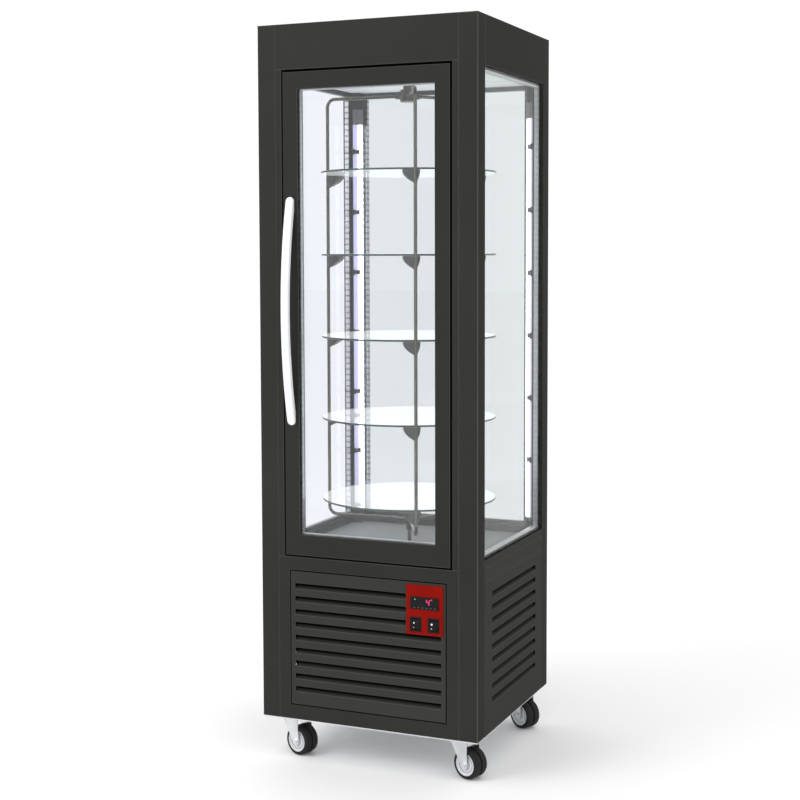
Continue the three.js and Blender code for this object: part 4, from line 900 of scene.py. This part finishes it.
def makeDisplay():
    x, z, face = display["x"], display["z"], display["face"]
    soften("thermostat_display", "displayBlack", 0.8)
    wide, high, bar = display["digitWide"], display["digitHigh"], display["bar"]
    front, level = face - display["proud"], z + display["digitUp"]
    figures = bmesh.new()
    litBars(figures, [(-wide / 2, high / 4, bar, high / 2 - bar), (wide / 2, high / 4, bar, high / 2 - bar),
                      (wide / 2, -high / 4, bar, high / 2 - bar), (0, 0, wide - bar, bar)])
    place = Matrix.Translation((x + display["digitAside"], front, level))
    settle(figures, "display_figure", "digitRed", "cabinet", place)
    small = bmesh.new()
    ring, thin = display["degree"], display["degreeBar"]
    litBars(small, [(-ring / 2, 0, thin, ring), (ring / 2, 0, thin, ring), (0, ring / 2, ring, thin),
                    (0, -ring / 2, ring, thin)])
    place = Matrix.Translation((x + display["degreeAside"], front, level + (high - ring) / 2))
    settle(small, "display_degree", "digitRed", "cabinet", place)
    lamp = bmesh.new()
    disc(lamp, pilot["radius"], face - pilot["proud"], face + pilot["sunk"],
         (x + pilot["aside"], z + pilot["up"]), pilot["soften"], pilot["sides"], "Y")
    settle(lamp, "display_pilot", "pilotGreen", "cabinet")
    marks = bmesh.new()
    for k in range(keyMarks["count"]):
        left = x + keyMarks["aside"] + k * keyMarks["pitch"]
        low = (left, face - keyMarks["proud"], z + keyMarks["low"])
        high = (left + keyMarks["wide"], face + keyMarks["sunk"], z + keyMarks["high"])
        block(marks, low, high, keyMarks["soften"], 1)
    settle(marks, "display_marks", "markGrey", "cabinet")


makeDisplay()

# marks on the rockers: a spot on the level upper half, a bar on the sloping lower half
rocker = {"x": (135.5, 183.5), "z": 392, "face": -262.3, "rise": 3.4, "half": 12.6}
rockerMarks = {"aside": -4.4, "spotUp": 3.2, "spots": (2.0, 2.7), "spotProud": 0.12, "spotSides": 24,
               "barDown": 8.4, "bars": (1.3, 2.5), "barWide": 0.9, "barProud": 0.14, "sunk": 0.3,
               "soften": 0.1}


def makeRockerMarks():
    slope = rocker["rise"] * 2 / 3 / rocker["half"]
    near = rocker["face"] - rocker["rise"] / 3
    up, down = rocker["z"] + rockerMarks["spotUp"], rocker["z"] - rockerMarks["barDown"]
    sunk, wide, arris = rockerMarks["sunk"], rockerMarks["barWide"], rockerMarks["soften"]
    for body, centre, spot, bar in zip(("light_switch", "power_switch"), rocker["x"], rockerMarks["spots"],
                                       rockerMarks["bars"]):
        x = centre + rockerMarks["aside"]
        marks = bmesh.new()
        disc(marks, spot, near - rockerMarks["spotProud"], near + sunk, (x, up), arris,
             rockerMarks["spotSides"], "Y")
        lower = bmesh.new()
        block(lower, (-wide, -rockerMarks["barProud"], -bar), (wide, sunk, bar), arris, 1)
        stand = Matrix.Translation((x, near - slope * rockerMarks["barDown"], down))
        tilt = Matrix.Rotation(math.atan(slope), 4, "X")
        bmesh.ops.transform(lower, matrix=stand @ tilt, verts=lower.verts)
        addTo(marks, lower)
        settle(marks, body + "_marks", "markWhite", body)


makeRockerMarks()

# black bezels round the rockers, proud of the red plate
bezel = {"wide": 31.2, "high": 37.2, "rim": 4.5, "face": -262.3, "proud": 0.6}


def makeBezels():
    shape = bmesh.new()
    wide, high = bezel["wide"] / 2, bezel["high"] / 2
    for x in rocker["x"]:
        fresh = bmesh.new()
        frameRing(fresh, (-wide, -high), (wide, high), bezel["rim"], bezel["proud"])
        bmesh.ops.translate(fresh, vec=(x, bezel["face"] - bezel["proud"], rocker["z"]), verts=fresh.verts)
        addTo(shape, fresh)
    settle(shape, "switch_bezels", "rockerBlack", "cabinet")


makeBezels()

# near-black ring round the removable grille, painted shade of the gap, a hair proud of the plane of the
# door's face
gapShadeRing = {"wide": 2.6, "proud": 0.1, "deep": 0.4}


def makeGrilleGapShade():
    low, high = (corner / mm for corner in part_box("front_grille"))
    half = gapShadeRing["wide"] / 2
    shape = bmesh.new()
    frameRing(shape, (low.x - half, low.z - half), (high.x + half, high.z + half), gapShadeRing["wide"],
              gapShadeRing["deep"])
    bmesh.ops.translate(shape, vec=(0, doorFrame["front"] - gapShadeRing["proud"], 0), verts=shape.verts)
    settle(shape, "grille_gap_shade", "gapShadeBlack", "cabinet")


makeGrilleGapShade()

# dished screws: low corners of the side panels, and the rear panel
screw = {"profile": [(0, -0.4), (0.9, -0.4), (1.1, 0.05), (2.6, 0.25), (3.4, 0), (3.4, -1.2), (0, -1.2)],
         "sides": 20, "sunk": 0.3}
# place, and the way the head looks, in degrees round the upright
screwSpots = [(side * 300, y, 118, side * 90) for side in (-1, 1) for y in (-200, 240)]
screwSpots += [(x, 300, z, 180) for x in (-235, 235) for z in (125, 330, 545)]


def makeScrews():
    heads = bmesh.new()
    outward = Matrix.Rotation(math.pi / 2, 4, "X") @ Matrix.Translation((0, 0, -screw["sunk"]))
    for x, y, z, turn in screwSpots:
        fresh = bmesh.new()
        spun(fresh, screw["profile"], screw["sides"])
        face = Matrix.Translation((x, y, z)) @ Matrix.Rotation(math.radians(turn), 4, "Z")
        bmesh.ops.transform(fresh, matrix=face @ outward, verts=fresh.verts)
        addTo(heads, fresh)
    settle(heads, "panel_screws", "enamelBlack", "cabinet")


makeScrews()
print("small parts made")

# studio: pale floor, soft lamps
studio = {"floor": (0.97, 0.97, 0.97), "rough": 0.8, "half": 40, "world": 1.04}


def makeStudio():
    shape = bmesh.new()
    bmesh.ops.create_grid(shape, x_segments=1, y_segments=1, size=studio["half"])
    mesh = bpy.data.meshes.new("floor")
    shape.to_mesh(mesh)
    shape.free()
    floor = bpy.data.objects.new("floor", mesh)
    bpy.context.scene.collection.objects.link(floor)
    finish("floorPaper", Base_Color=studio["floor"], Roughness=studio["rough"])
    mesh.materials.append(finishes["floorPaper"].material)
    world = bpy.data.worlds.new("studio")
    bpy.context.scene.world = world
    world.use_nodes = True
    world.node_tree.nodes["Background"].inputs[0].default_value = (1, 1, 1, 1)
    world.node_tree.nodes["Background"].inputs[1].default_value = studio["world"]


lights = {
    "keyLamp": {"place": (-2.6, -3.4, 3.4), "aim": (0, 0, 1.0), "size": 2.4, "power": 80},
    "sideLamp": {"place": (3.6, -0.6, 2.4), "aim": (0, 0, 1.0), "size": 2.0, "power": 0.5},
}


def makeLights():
    for name, values in lights.items():
        data = bpy.data.lights.new(name, "AREA")
        data.size = values["size"]
        data.energy = values["power"]
        lamp = bpy.data.objects.new(name, data)
        bpy.context.scene.collection.objects.link(lamp)
        lamp.location = values["place"]
        aim = Vector(values["aim"]) - Vector(values["place"])
        lamp.rotation_euler = aim.to_track_quat("-Z", "Y").to_euler()


makeStudio()
makeLights()
bpy.context.scene.view_settings.view_transform = "Standard"
